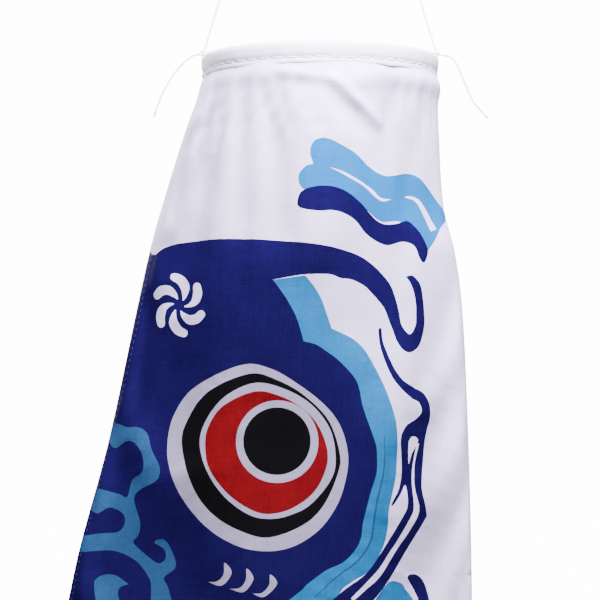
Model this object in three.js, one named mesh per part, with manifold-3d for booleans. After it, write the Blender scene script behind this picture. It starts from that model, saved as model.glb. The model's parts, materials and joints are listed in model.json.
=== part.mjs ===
// Carp streamer (koinobori), hanging head up by two short cords, each with its own ring.
// Millimetres, +Z up. The origin is midway between the points inside the two rings that bear
// on their hooks.
// The fish is seen from its side along Y: its back is towards -X and its belly towards +X.
import * as THREE from "three";
import { mergeVertices } from "three/addons/utils/BufferGeometryUtils.js";
import Module from "manifold-3d";

const wasm = await Module();
wasm.setup();

// ---------- driving dimensions ----------
const GAP = 0.3; // kept between pieces that touch
const LOOSE = 0.2; // half of the play left between two cloth sections

// rings
const RING_RADIUS = 4.7; // centre line of the ring at the top of each cord
const RING_WIRE = 0.7;

// cords
const CORD_RADIUS = 0.45;
const TOP_LOOP_RADIUS = 3.5;
const TOP_KNOT_RADIUS = 1.9;
const LEG_DROP = 33; // from the knot at the top of a cord down to its knot on the hoop
const LEG_RUN = 9.3; // how far each cord leans in towards the other over that drop
const TIE_KNOT_RADIUS = 1.4;
const TIE_KNOT_HALF_HEIGHT = 1;
const TIE_LOOP_RADIUS = 3.6; // the cord's turn around the hoop and its casing
const TIE_KNOT_LEAN = Math.PI / 6; // the knot sits this far outwards from the top of that turn

// mouth
const MOUTH_RADIUS = 45; // outside of the casing
const HOOP_ROD_RADIUS = 1.2;
const HOOP_SPIGOT_RADIUS = 0.65; // turned-down ends of the hoop, inside the joiner
const JOINER_LENGTH = 12;
const CASING_WALL = 0.6;
const CASING_HEIGHT = 9.2; // the hem seen from outside
const CLOTH_WALL = 0.8;
const CLOTH_TUCK = 2.1; // how far the cloth runs up inside the casing

// body
const BODY_LENGTH = 700; // mouth to tail tips
const TAIL_NOTCH = 62; // depth of the V in the tail
const FLEX_RANGE = 30; // degrees that two cloth sections fold each way
const FRONT_FOLD = 0.336; // where the body folds, as shares of its length
const REAR_FOLD = 0.614;
const TAIL_FOLD = 0.836;
const LENS_EXPONENT = 1.5; // section far down: two bowed faces that meet in folds

// Each row: share of the length, how far the back and the belly stand outside the mouth's
// radius, and the half depth as a share of that radius.
const OUTLINE = [
  [0.0228, 1.5, 0.2, 0.978],
  [0.043, 6.7, 0.6, 0.93],
  [0.086, 16, 2.5, 0.8],
  [0.11, 20.5, 6.7, 0.72],
  [0.143, 25.5, 9.6, 0.62],
  [0.214, 36, 11.7, 0.48],
  [0.286, 49, 12.8, 0.39],
  [0.371, 58, 13, 0.355],
  [0.486, 54, 13, 0.355],
  [0.614, 27, 13, 0.33],
  [0.743, -7, 13, 0.29],
  [0.836, -18, 13, 0.265],
  [0.886, -14, 18, 0.255],
  [0.943, 1, 30, 0.235],
  [1, 21, 47, 0.2],
];

// fins
const FIN_THICKNESS = 0.6;
const FIN_STANDOFF = 0.8;
const PECTORAL = { root: 0.361, from: -12, to: 26, length: 92, flare: 9 };
const PELVIC = { root: 0.643, from: 2, to: 28, length: 58, flare: 6 };
const DORSAL = { from: 0.393, to: 0.571, height: 27, rake: 22 };
const ANAL = { from: 0.671, to: 0.771, height: 19, rake: 16 };

const TUBE_SIDES = 32;
const WIRE_SIDES = 8;
const CORD_SIDES = 8;

// ---------- places worked out from the dimensions ----------
const ringZ = RING_WIRE - RING_RADIUS;
const topLoopZ = ringZ - RING_RADIUS + RING_WIRE + CORD_RADIUS + GAP - TOP_LOOP_RADIUS;
const topKnotZ = topLoopZ - TOP_LOOP_RADIUS - TOP_KNOT_RADIUS / 2;
const mouthZ = topKnotZ - LEG_DROP; // the height of the two knots on the hoop

const hoopRadius = MOUTH_RADIUS - CASING_WALL - GAP - HOOP_ROD_RADIUS;
const casingArc = HOOP_ROD_RADIUS + GAP; // inside of the casing where it rounds the rod
const rodDrop = TIE_LOOP_RADIUS * Math.cos(TIE_KNOT_LEAN); // the rod's centre below the knots
const tieHalfSpread = hoopRadius + TIE_LOOP_RADIUS * Math.sin(TIE_KNOT_LEAN);
const topHalfSpread = tieHalfSpread - LEG_RUN;
const casingTop = rodDrop - casingArc - CASING_WALL;
const casingBottom = casingTop + CASING_HEIGHT;
const clothTop = casingBottom - CLOTH_TUCK;

const rad = THREE.MathUtils.degToRad;

// ---------- small helpers ----------
function placed(geometry, x, y, z) {
  return geometry.translate(x, y, z);
}

/** Keeps only positions, joins shared corners and turns the faces outwards. */
function closed(geometry) {
  geometry.deleteAttribute("normal");
  geometry.deleteAttribute("uv");
  const merged = mergeVertices(geometry, 1e-4);
  const at = merged.attributes.position;
  const index = merged.index.array;
  const corner = (i) => new THREE.Vector3().fromBufferAttribute(at, index[i]);
  let volume = 0;
  for (let i = 0; i < index.length; i += 3) {
    volume += corner(i).dot(corner(i + 1).cross(corner(i + 2)));
  }
  if (volume < 0) {
    for (let i = 0; i < index.length; i += 3) {
      [index[i + 1], index[i + 2]] = [index[i + 2], index[i + 1]];
    }
  }
  return merged;
}

function solid(geometry) {
  const merged = closed(geometry);
  return new wasm.Manifold(
    new wasm.Mesh({
      numProp: 3,
      vertProperties: new Float32Array(merged.attributes.position.array),
      triVerts: new Uint32Array(merged.index.array),
    }),
  );
}

function geometryOf(manifold) {
  const mesh = manifold.getMesh();
  const geometry = new THREE.BufferGeometry();
  geometry.setAttribute("position", new THREE.BufferAttribute(mesh.vertProperties, 3));
  geometry.setIndex(new THREE.BufferAttribute(mesh.triVerts, 1));
  return geometry;
}

/** The ring at the top of one cord, standing in the XZ plane. */
function hangingRing(side) {
  const geometry = new THREE.TorusGeometry(RING_RADIUS, RING_WIRE, WIRE_SIDES, 24);
  return placed(geometry.rotateX(Math.PI / 2), side * topHalfSpread, 0, ringZ);
}

/** A round section swept along a curve, with flat ends. */
function tubeAlong(curve, radius, steps, sides = CORD_SIDES) {
  const section = new THREE.Shape();
  for (let i = 0; i < sides; i++) {
    const turn = (i / sides) * 2 * Math.PI;
    const point = [radius * Math.cos(turn), radius * Math.sin(turn)];
    if (i === 0) section.moveTo(...point);
    else section.lineTo(...point);
  }
  section.closePath();
  return new THREE.ExtrudeGeometry(section, { steps, bevelEnabled: false, extrudePath: curve });
}

/** An arc of a circle in the XZ or the YZ plane, from one angle to another, measured from +Z. */
class RoundArc extends THREE.Curve {
  constructor(centre, radius, from, to, plane) {
    super();
    Object.assign(this, { centre, radius, from, to, plane });
  }

  getPoint(t, target = new THREE.Vector3()) {
    const turn = this.from + (this.to - this.from) * t;
    const across = this.radius * Math.sin(turn);
    const up = this.radius * Math.cos(turn);
    const offset = this.plane === "XZ" ? [across, 0, up] : [0, across, up];
    return target.set(...offset).add(this.centre);
  }
}

/** A flattened ball, standing for a knot pulled tight. */
function knot(radius, halfHeight, x, z) {
  const geometry = new THREE.SphereGeometry(radius, 10, 7);
  geometry.rotateX(Math.PI / 2);
  geometry.scale(1, 1, halfHeight / radius);
  return placed(geometry, x, 0, z);
}

/** A closed lathe profile turned about Z. */
function turned(points, sides) {
  const profile = points.map(([r, z]) => new THREE.Vector2(r, z));
  profile.push(profile[0].clone());
  return new THREE.LatheGeometry(profile, sides).rotateX(Math.PI / 2);
}

// ---------- the body's shape ----------
/** Smooth value of one outline column at a share of the length. */
function outlineAt(share, column) {
  const last = OUTLINE.length - 1;
  let i = 0;
  while (i < last - 1 && share > OUTLINE[i + 1][0]) i++;
  const [before, a, b, after] = [i - 1, i, i + 1, i + 2].map(
    (k) => OUTLINE[THREE.MathUtils.clamp(k, 0, last)],
  );
  const span = b[0] - a[0];
  const t = (share - a[0]) / span;
  const slopeA = (b[column] - before[column]) / (b[0] - before[0]);
  const slopeB = (after[column] - a[column]) / (after[0] - a[0]);
  const t2 = t * t;
  const t3 = t2 * t;
  return (
    (2 * t3 - 3 * t2 + 1) * a[column] +
    (t3 - 2 * t2 + t) * span * slopeA +
    (3 * t2 - 2 * t3) * b[column] +
    (t3 - t2) * span * slopeB
  );
}

/** The body's section at a drop below the knots: back, belly and half depth. */
function sectionAt(drop) {
  const inCasing = hoopRadius + CLOTH_WALL / 2;
  const start = OUTLINE[0][0] * BODY_LENGTH;
  const full = Math.max(drop, start) / BODY_LENGTH;
  const section = {
    back: -(MOUTH_RADIUS + outlineAt(full, 1)),
    belly: MOUTH_RADIUS + outlineAt(full, 2),
    depth: MOUTH_RADIUS * outlineAt(full, 3),
  };
  const straight = casingBottom + 2 * GAP;
  const widen = THREE.MathUtils.clamp((drop - straight) / (start - straight), 0, 1);
  const lerp = THREE.MathUtils.lerp;
  return {
    back: lerp(-inCasing, section.back, widen),
    belly: lerp(inCasing, section.belly, widen),
    depth: lerp(inCasing, section.depth, widen),
    exponent: lerp(1, LENS_EXPONENT, THREE.MathUtils.smoothstep(full, 0.02, 0.3)),
  };
}

/** A point of the body's wall; turn 0 is the belly fold and pi is the back seam. */
function wallPoint(drop, turn, inset) {
  const { back, belly, depth, exponent } = sectionAt(drop);
  const half = (belly - back) / 2 - inset * 2;
  const side = Math.sign(Math.sin(turn));
  const bow = Math.pow(Math.abs(Math.sin(turn)), exponent);
  return new THREE.Vector3(
    (belly + back) / 2 + half * Math.cos(turn),
    side * (depth - inset) * bow,
    mouthZ - drop,
  );
}

/** One length of the cloth tube, between two edges that are functions of the turn. */
function clothTube(topEdge, bottomEdge, rings) {
  const OUTER = 2;
  const INNER = 1;
  const loop = [];
  for (let i = 0; i <= rings; i++) loop.push([OUTER, i / rings]);
  for (let i = rings; i >= 0; i--) loop.push([INNER, i / rings]);
  const profile = loop.map(([r, t]) => new THREE.Vector2(r, t));
  profile.push(profile[0].clone());
  const geometry = new THREE.LatheGeometry(profile, TUBE_SIDES);
  const at = geometry.attributes.position;
  for (let i = 0; i < at.count; i++) {
    const layer = Math.hypot(at.getX(i), at.getZ(i));
    const turn = Math.atan2(at.getX(i), at.getZ(i));
    const inset = layer > (OUTER + INNER) / 2 ? 0 : CLOTH_WALL;
    const drop = THREE.MathUtils.lerp(topEdge(turn), bottomEdge(turn), at.getY(i));
    const point = wallPoint(drop, turn, inset);
    at.setXYZ(i, point.x, point.y, point.z);
  }
  return geometry;
}

/** An edge beside a fold, cut back in a V so that two sections can lean together. */
function foldEdge(share, direction) {
  const drop = share * BODY_LENGTH;
  const { depth, exponent } = sectionAt(drop);
  const lean = Math.tan(rad(FLEX_RANGE / 2 + 1));
  return (turn) => {
    const reach = depth * Math.pow(Math.abs(Math.sin(turn)), exponent);
    return drop + direction * (LOOSE + reach * lean);
  };
}

function tailEdge(turn) {
  return BODY_LENGTH - TAIL_NOTCH * (1 - Math.abs(Math.cos(turn)));
}

// ---------- cords ----------
function topLoop(side) {
  const opening = Math.asin((CORD_RADIUS + GAP) / TOP_LOOP_RADIUS) + 0.32;
  const centre = new THREE.Vector3(side * topHalfSpread, 0, topLoopZ);
  const arc = new RoundArc(centre, TOP_LOOP_RADIUS, opening - Math.PI, Math.PI - opening, "YZ");
  return tubeAlong(arc, CORD_RADIUS, 18);
}

function cordLeg(side) {
  const top = new THREE.Vector3(side * topHalfSpread, 0, topKnotZ);
  const bottom = new THREE.Vector3(side * tieHalfSpread, 0, mouthZ);
  const along = bottom.clone().sub(top).normalize();
  const start = top.clone().addScaledVector(along, TOP_KNOT_RADIUS + GAP);
  const end = bottom.clone().addScaledVector(along, -(TIE_KNOT_RADIUS + GAP));
  return tubeAlong(new THREE.LineCurve3(start, end), CORD_RADIUS, 1);
}

function tieLoopArc(side) {
  const opening = Math.asin((TIE_KNOT_RADIUS + GAP) / TIE_LOOP_RADIUS) + 0.1;
  const from = side * TIE_KNOT_LEAN + opening;
  const to = side * TIE_KNOT_LEAN + 2 * Math.PI - opening;
  const centre = new THREE.Vector3(side * hoopRadius, 0, mouthZ - rodDrop);
  return new RoundArc(centre, TIE_LOOP_RADIUS, from, to, "XZ");
}

// Loose ends of the cords: the points are offsets from the knot, outwards and down.
const BACK_TAIL_ROUTE = [
  [1.8, 0.2],
  [4.2, 0.8],
  [8, 3.8],
  [12.3, 9.2],
  [15.9, 15.7],
  [17.9, 20.6],
  [18.8, 23.4],
];
const BELLY_TAIL_ROUTE = [
  [1.8, 0.4],
  [5, 1.1],
  [7.6, 3.6],
  [9.6, 8],
  [12.3, 14.6],
  [14.2, 18.6],
  [18, 23],
  [19.2, 24.6],
];

function looseEnd(side, route) {
  const points = route.map(
    ([out, down]) => new THREE.Vector3(side * (tieHalfSpread + out), 0, mouthZ - down),
  );
  return tubeAlong(new THREE.CatmullRomCurve3(points), CORD_RADIUS, 14);
}

// ---------- mouth ----------
/** Bends a rod that stands along Z into a ring around the mouth, starting at the given angle. */
function bentIntoRing(geometry, startAngle) {
  const at = geometry.attributes.position;
  for (let i = 0; i < at.count; i++) {
    const angle = startAngle + at.getZ(i) / hoopRadius;
    const radius = hoopRadius + at.getX(i);
    at.setXYZ(i, radius * Math.cos(angle), radius * Math.sin(angle), at.getY(i));
  }
  return placed(geometry, 0, 0, mouthZ - rodDrop);
}

const JOINER_ANGLE = Math.PI / 2; // the joiner sits at the far side of the mouth

function mouthHoop() {
  const length = 2 * Math.PI * hoopRadius - 2 * GAP;
  const spigot = JOINER_LENGTH / 2;
  const steps = 44;
  const profile = [[0, 0]];
  for (const z of [0, spigot / 2, spigot]) profile.push([HOOP_SPIGOT_RADIUS, z]);
  for (let i = 0; i <= steps; i++) {
    profile.push([HOOP_ROD_RADIUS, spigot + ((length - 2 * spigot) * i) / steps]);
  }
  for (const z of [length - spigot, length - spigot / 2, length]) {
    profile.push([HOOP_SPIGOT_RADIUS, z]);
  }
  profile.push([0, length]);
  const points = profile.map(([r, z]) => new THREE.Vector2(r, z));
  const rod = new THREE.LatheGeometry(points, WIRE_SIDES).rotateX(Math.PI / 2);
  return bentIntoRing(rod, JOINER_ANGLE + GAP / hoopRadius);
}

function hoopJoiner() {
  const half = JOINER_LENGTH / 2 - GAP;
  const steps = 6;
  const outer = [];
  const inner = [];
  for (let i = 0; i <= steps; i++) {
    const z = -half + (2 * half * i) / steps;
    outer.push([HOOP_ROD_RADIUS, z]);
    inner.unshift([HOOP_SPIGOT_RADIUS + GAP, z]);
  }
  return bentIntoRing(turned([...outer, ...inner], WIRE_SIDES), JOINER_ANGLE);
}

function mouthCasing() {
  const round = 4;
  const outer = [];
  const inner = [];
  for (let i = 0; i <= round; i++) {
    const turn = (i / round) * Math.PI;
    for (const [list, radius] of [
      [outer, casingArc + CASING_WALL],
      [inner, casingArc],
    ]) {
      list.push([hoopRadius + radius * Math.cos(turn), radius * Math.sin(turn) - rodDrop]);
    }
  }
  const foot = -casingBottom;
  const wall = [
    [hoopRadius + casingArc + CASING_WALL, foot],
    ...outer,
    [hoopRadius - casingArc - CASING_WALL, foot],
    [hoopRadius - casingArc, foot],
    ...inner.reverse(),
    [hoopRadius + casingArc, foot],
  ];
  let casing = solid(placed(turned(wall, 48), 0, 0, mouthZ));
  for (const side of [-1, 1]) {
    const way = tubeAlong(tieLoopArc(side), CORD_RADIUS + GAP, 18);
    casing = casing.subtract(solid(way));
  }
  return geometryOf(casing);
}

// ---------- fins ----------
/** A side fin, sewn along its upper edge and hanging against the body. */
function sideFin({ root, from, to, length, flare }, side) {
  const shape = new THREE.Shape();
  const width = to - from;
  shape.moveTo(0, 0);
  shape.bezierCurveTo(-flare, -length * 0.4, -flare, -length * 0.75, width * 0.1, -length * 0.94);
  shape.bezierCurveTo(width * 0.4, -length * 1.02, width * 0.9, -length, width + flare, -length * 0.8);
  shape.bezierCurveTo(width + flare, -length * 0.55, width + flare * 0.4, -length * 0.25, width, 0);
  const geometry = new THREE.ExtrudeGeometry(shape, {
    depth: FIN_THICKNESS,
    bevelEnabled: false,
    curveSegments: 6,
  });
  geometry.rotateX(Math.PI / 2);
  const at = sideFinRoot({ root, from, to }, side);
  geometry.translate(0, side < 0 ? 0 : FIN_THICKNESS, 0);
  geometry.rotateZ(at.lean);
  return placed(geometry, at.x, at.y, at.z);
}

/** Where a side fin's sewn edge starts, and how it leans to lie along the body's bowed side. */
function sideFinRoot({ root, from, to }, side) {
  const drop = root * BODY_LENGTH;
  const { back, belly, depth, exponent } = sectionAt(drop);
  const half = (belly - back) / 2;
  const bow = (x) => depth * Math.pow(1 - ((x - (belly + back) / 2) / half) ** 2, exponent / 2);
  const fall = (bow(to) - bow(from)) / (to - from);
  return {
    x: from,
    y: side * (bow(from) + FIN_STANDOFF + (bow((from + to) / 2) - (bow(from) + bow(to)) / 2)),
    z: mouthZ - drop,
    lean: Math.atan(side * fall),
  };
}

/** A fin in the fish's middle plane, standing out from the back or the belly line. */
function edgeFin({ from, to, height, rake }, side) {
  const steps = 7;
  const edge = (share) => {
    const { back, belly } = sectionAt(share * BODY_LENGTH);
    return (side < 0 ? back : belly) + side * GAP;
  };
  const shape = new THREE.Shape();
  shape.moveTo(edge(from), -from * BODY_LENGTH);
  for (let i = 1; i <= steps; i++) {
    const share = THREE.MathUtils.lerp(from, to, i / steps);
    shape.lineTo(edge(share), -share * BODY_LENGTH);
  }
  const tip = [edge(to) + side * height, -(to * BODY_LENGTH + rake)];
  shape.bezierCurveTo(
    edge(to) + side * height * 0.3,
    -(to * BODY_LENGTH + rake * 0.3),
    edge(to) + side * height * 0.7,
    -(to * BODY_LENGTH + rake * 0.9),
    ...tip,
  );
  shape.bezierCurveTo(
    tip[0] + side * height * 0.25,
    tip[1] + rake,
    edge(from) + side * height * 1.05,
    -((from + (to - from) * 0.35) * BODY_LENGTH),
    edge(from),
    -from * BODY_LENGTH,
  );
  const geometry = new THREE.ExtrudeGeometry(shape, {
    depth: FIN_THICKNESS,
    bevelEnabled: false,
    curveSegments: 6,
  });
  geometry.rotateX(Math.PI / 2);
  return placed(geometry, 0, FIN_THICKNESS / 2, mouthZ);
}

// ---------- materials ----------
const cloth = { color: 0xe4e3ee, roughness: 0.72, metalness: 0 };
const navy = { color: 0x1b2069, roughness: 0.7, metalness: 0 };
const lightBlue = { color: 0x5a9fd0, roughness: 0.7, metalness: 0 };
const cordWhite = { color: 0xf0f0ee, roughness: 0.8, metalness: 0 };
const plastic = { color: 0xf4f4f0, roughness: 0.45, metalness: 0 };
const nickel = { color: 0xc9c8c4, roughness: 0.28, metalness: 1 };

const streamer = new THREE.Group();

function add(name, geometry, look) {
  const mesh = new THREE.Mesh(closed(geometry), new THREE.MeshStandardMaterial(look));
  mesh.name = name;
  streamer.add(mesh);
}

// hangers, cords and the knots that join them to the hoop
for (const [name, side, route] of [
  ["back", -1, BACK_TAIL_ROUTE],
  ["belly", 1, BELLY_TAIL_ROUTE],
]) {
  add(`hanging_ring_${name}`, hangingRing(side), nickel);
  add(`top_loop_${name}`, topLoop(side), cordWhite);
  add(
    `top_knot_${name}`,
    knot(TOP_KNOT_RADIUS, TOP_KNOT_RADIUS, side * topHalfSpread, topKnotZ),
    cordWhite,
  );
  add(`cord_leg_${name}`, cordLeg(side), cordWhite);
  add(
    `tie_knot_${name}`,
    knot(TIE_KNOT_RADIUS, TIE_KNOT_HALF_HEIGHT, side * tieHalfSpread, mouthZ),
    cordWhite,
  );
  add(`tie_loop_${name}`, tubeAlong(tieLoopArc(side), CORD_RADIUS, 18), cordWhite);
  add(`cord_end_${name}`, looseEnd(side, route), cordWhite);
}

// mouth
add("mouth_hoop", mouthHoop(), plastic);
add("hoop_joiner", hoopJoiner(), plastic);
add("mouth_casing", mouthCasing(), cloth);

// body
add("head_cloth", clothTube(() => clothTop, foldEdge(FRONT_FOLD, -1), 11), cloth);
add("middle_cloth", clothTube(foldEdge(FRONT_FOLD, 1), foldEdge(REAR_FOLD, -1), 6), navy);
add("rear_cloth", clothTube(foldEdge(REAR_FOLD, 1), foldEdge(TAIL_FOLD, -1), 5), navy);
add("tail_cloth", clothTube(foldEdge(TAIL_FOLD, 1), tailEdge, 5), navy);

// fins
for (const [name, side] of [
  ["near", -1],
  ["far", 1],
]) {
  add(`pectoral_fin_${name}`, sideFin(PECTORAL, side), lightBlue);
  add(`pelvic_fin_${name}`, sideFin(PELVIC, side), lightBlue);
}
add("dorsal_fin", edgeFin(DORSAL, -1), navy);
add("anal_fin", edgeFin(ANAL, 1), lightBlue);

export default streamer;
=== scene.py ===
"""The looks of the hanging carp streamer: printed cloth tube, hem, cords, knots, rings and fins.

Sizes are in millimetres until a mesh is made, where MM turns them into metres. A place on the
cloth tube is (turn, drop): turn is 0 on the belly fold, pi on the back seam and 2 pi on the belly
again, and drop is measured down from the two knots on the mouth. The near side has turns past pi.
"""

import json
import math
import random

import bpy
import numpy as np
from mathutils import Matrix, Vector, geometry, noise


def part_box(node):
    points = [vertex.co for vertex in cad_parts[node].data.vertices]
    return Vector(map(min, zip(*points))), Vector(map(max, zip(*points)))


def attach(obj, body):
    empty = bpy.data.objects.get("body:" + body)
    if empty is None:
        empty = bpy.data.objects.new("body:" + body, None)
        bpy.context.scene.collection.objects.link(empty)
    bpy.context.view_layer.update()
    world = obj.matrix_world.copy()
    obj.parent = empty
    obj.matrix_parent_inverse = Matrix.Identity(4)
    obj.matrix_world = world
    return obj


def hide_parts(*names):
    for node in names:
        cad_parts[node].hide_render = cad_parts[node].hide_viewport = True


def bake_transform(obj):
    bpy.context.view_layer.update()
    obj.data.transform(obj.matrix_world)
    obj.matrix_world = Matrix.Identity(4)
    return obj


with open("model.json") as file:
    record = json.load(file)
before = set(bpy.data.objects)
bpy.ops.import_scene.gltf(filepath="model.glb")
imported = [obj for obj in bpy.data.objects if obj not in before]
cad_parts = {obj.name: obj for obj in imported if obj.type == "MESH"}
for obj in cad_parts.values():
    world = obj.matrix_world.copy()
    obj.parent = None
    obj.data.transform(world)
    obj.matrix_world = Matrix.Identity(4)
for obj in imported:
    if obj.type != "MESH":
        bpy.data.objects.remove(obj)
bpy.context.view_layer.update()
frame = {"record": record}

MM = 0.001
rng = random.Random(11)


# ---------------------------------------------------------------- helpers for every section
def linked(name, data):
    """A new object in the scene."""
    thing = bpy.data.objects.new(name, data)
    bpy.context.collection.objects.link(thing)
    return thing


def ring_faces(count, sides, closed):
    """Faces between count rings of points; closed joins the last ring to the first."""
    faces = []
    for i in range(count if closed else count - 1):
        a, b = i * sides, (i + 1) % count * sides
        for k in range(sides):
            after = (k + 1) % sides
            faces.append((a + k, a + after, b + after, b + k))
    return faces


def settle(piece, slot, body, *nodes):
    """The piece stands for the CAD nodes and rides on the body; the slot is not used."""
    if nodes:
        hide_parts(*nodes)
    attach(piece, body)


# ---------------------------------------------------------------- the frame's places
def node_centre(node):
    low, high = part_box(node)
    return Vector([(a + b) / 2 / MM for a, b in zip(low, high)])


def joint_height(name):
    joint = next(j for j in frame["record"]["behaviour"]["joints"] if j["name"] == name)
    return joint["pos_m"][2] / MM


KNOT_BACK = node_centre("tie_knot_back")
KNOT_BELLY = node_centre("tie_knot_belly")
TOP_BACK = node_centre("top_knot_back")
TOP_BELLY = node_centre("top_knot_belly")
HOOP = node_centre("mouth_hoop")
MOUTH_Z = KNOT_BACK.z
FOLD_FRONT = MOUTH_Z - joint_height("front_fold")
FOLD_REAR = MOUTH_Z - joint_height("rear_fold")
FOLD_TAIL = MOUTH_Z - joint_height("tail_fold")

# ---------------------------------------------------------------- camera, first of all
VIEW_TILT = math.radians(5.4)  # the streamer is seen from a little below
PICTURE_WIDTH = 229.8
PICTURE_CENTRE = (-7.7, 95.2)  # across, and down from the knots
CAMERA_DISTANCE = 2000
SENSOR = 36


def add_camera():
    data = bpy.data.cameras.new("camera")
    data.sensor_width = SENSOR
    data.lens = SENSOR * CAMERA_DISTANCE / PICTURE_WIDTH
    data.clip_end = 100
    camera = linked("camera", data)
    away = Vector((0, -math.cos(VIEW_TILT), -math.sin(VIEW_TILT))) * CAMERA_DISTANCE
    target = Vector((PICTURE_CENTRE[0], 0, MOUTH_Z - PICTURE_CENTRE[1]))
    camera.location = (target + away) * MM
    camera.rotation_euler = (math.pi / 2 + VIEW_TILT, 0, 0)
    bpy.context.scene.camera = camera


add_camera()

# ---------------------------------------------------------------- dimensions of the looks
CORD_D = 0.9
HEM_STITCH_DROP = 7.4
HEM_FOOT = 9.7
MOUTH_R = 45
BODY_LENGTH = 700
TAIL_NOTCH = 62
LENS_EXPONENT = 1.5
TUBE_INSET = 0.42  # the tube starts this far inside the mouth's radius
TUBE_TOP = 9.4  # the drop at which it leaves the hem
# Side fins: root is the drop of the sewn edge, y its place off the middle plane, lean its angle there.
PECTORAL = dict(root=0.361 * BODY_LENGTH, x=-12, width=38, length=92, flare=9, y=17.424, lean=0.1151)
PELVIC = dict(root=0.643 * BODY_LENGTH, x=2, width=26, length=58, flare=6, y=15.736, lean=0.1093)
# Edge fins: top and end are shares of the body's length; side is -1 on the back and 1 on the belly.
DORSAL = dict(top=0.393, end=0.571, height=27, rake=22, side=-1)
ANAL = dict(top=0.671, end=0.771, height=19, rake=16, side=1)
CLOTH_THICKNESS = 0.22
TURN_SCALE = 48  # millimetres of cloth for one radian of turn, used to space the mesh

# Share of the length, back and belly outside the mouth's radius, half depth over that radius.
OUTLINE = [
    (0.0228, 1.5, 0.2, 0.978),
    (0.043, 6.7, 0.6, 0.93),
    (0.086, 16, 2.5, 0.8),
    (0.11, 20.5, 6.7, 0.72),
    (0.143, 25.5, 9.6, 0.62),
    (0.214, 36, 11.7, 0.48),
    (0.286, 49, 12.8, 0.39),
    (0.371, 58, 13, 0.355),
    (0.486, 54, 13, 0.355),
    (0.614, 27, 13, 0.33),
    (0.743, -7, 13, 0.29),
    (0.836, -18, 13, 0.265),
    (0.886, -14, 18, 0.255),
    (0.943, 1, 30, 0.235),
    (1, 21, 47, 0.2),
]


def smoothstep(x, low, high):
    t = min(max((x - low) / (high - low), 0), 1)
    return t * t * (3 - 2 * t)


def outline_at(share, column):
    last = len(OUTLINE) - 1
    i = 0
    while i < last - 1 and share > OUTLINE[i + 1][0]:
        i += 1
    before, a, b, after = (OUTLINE[min(max(k, 0), last)] for k in (i - 1, i, i + 1, i + 2))
    span = b[0] - a[0]
    t = (share - a[0]) / span
    slope_a = (b[column] - before[column]) / (b[0] - before[0])
    slope_b = (after[column] - a[column]) / (after[0] - a[0])
    return (
        (2 * t**3 - 3 * t**2 + 1) * a[column]
        + (t**3 - 2 * t**2 + t) * span * slope_a
        + (3 * t**2 - 2 * t**3) * b[column]
        + (t**3 - t**2) * span * slope_b
    )


def make_section_table():
    """Back, belly, half depth and bow exponent for every half millimetre of drop."""
    rows = []
    start = OUTLINE[0][0] * BODY_LENGTH
    in_casing = MOUTH_R - TUBE_INSET
    held = (-in_casing, in_casing, in_casing)
    for i in range(2 * BODY_LENGTH + 1):
        drop = i / 2
        share = max(drop, start) / BODY_LENGTH
        back, belly = -(MOUTH_R + outline_at(share, 1)), MOUTH_R + outline_at(share, 2)
        free = (back, belly, MOUTH_R * outline_at(share, 3))
        widen = min(max((drop - TUBE_TOP) / (start - TUBE_TOP), 0), 1)
        bow = 1 + (LENS_EXPONENT - 1) * smoothstep(share, 0.02, 0.3)
        rows.append([a + (b - a) * widen for a, b in zip(held, free)] + [bow])
    return np.array(rows)


SECTIONS = make_section_table()


def section(drop):
    place = min(max(drop * 2, 0), len(SECTIONS) - 1.001)
    low = int(place)
    return SECTIONS[low] + (SECTIONS[low + 1] - SECTIONS[low]) * (place - low)


def bare_wall(turn, drop):
    """A point of the tube before it drapes."""
    back, belly, depth, exponent = section(drop)
    side = 1 if math.sin(turn) >= 0 else -1
    return Vector(
        (
            (belly + back) / 2 + (belly - back) / 2 * math.cos(turn),
            side * depth * abs(math.sin(turn)) ** exponent,
            MOUTH_Z - drop,
        )
    )


def wall_normal(turn, drop):
    """Outward direction of the tube's wall."""
    step = 0.02
    across = bare_wall(turn + step, drop) - bare_wall(turn - step, drop)
    down = bare_wall(turn, drop + 1) - bare_wall(turn, drop - 1)
    return across.cross(down).normalized() * -1


# ---------------------------------------------------------------- soft folds of the cloth
# Each crease: start (turn, drop), end (turn, drop), width and depth; negative goes inwards.
NEAR = 2 * math.pi
CREASES = [
    ((NEAR - 1.45, 15.5), (NEAR - 1.02, 31.5), 2.0, 1.7),
    ((NEAR - 1.52, 18), (NEAR - 1.12, 34), 4.4, -1.5),
    ((NEAR - 1.92, 12.5), (NEAR - 1.46, 15.5), 1.6, 0.6),
    ((NEAR - 1.92, 15.5), (NEAR - 1.5, 18.5), 2.0, -0.6),
    ((NEAR - 2.5, 26), (NEAR - 2.72, 36), 3.0, -0.9),
    ((NEAR - 2.62, 24), (NEAR - 2.85, 32), 3.0, 0.5),
    ((NEAR - 0.9, 12), (NEAR - 0.75, 60), 6.0, -1.3),
    ((NEAR - 2.1, 12), (NEAR - 2.2, 64), 7.0, 1.0),
    ((NEAR - 0.55, 60), (NEAR - 0.62, 200), 8.0, -1.4),
    ((NEAR - 2.75, 96), (NEAR - 2.68, 180), 7.0, -0.7),
    ((1.0, 12), (0.85, 70), 8.0, -0.8),
    ((2.0, 14), (2.25, 90), 9.0, 0.7),
    ((2.5, 100), (2.6, 210), 9.0, -0.8),
    ((NEAR - 1.7, 250), (NEAR - 1.9, 330), 9.0, -0.9),
    ((NEAR - 1.1, 380), (NEAR - 1.3, 470), 8.0, -0.8),
    ((1.5, 260), (1.3, 350), 9.0, -0.9),
]


HEM_END = 9  # the cloth is held still above this drop
GATHER_FADE = 38
SWELL_DROP = 13.5
SWELL_REACH = 4
SWELL_FACES = 0.9
SWELL_BELLY = 0.45


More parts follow.
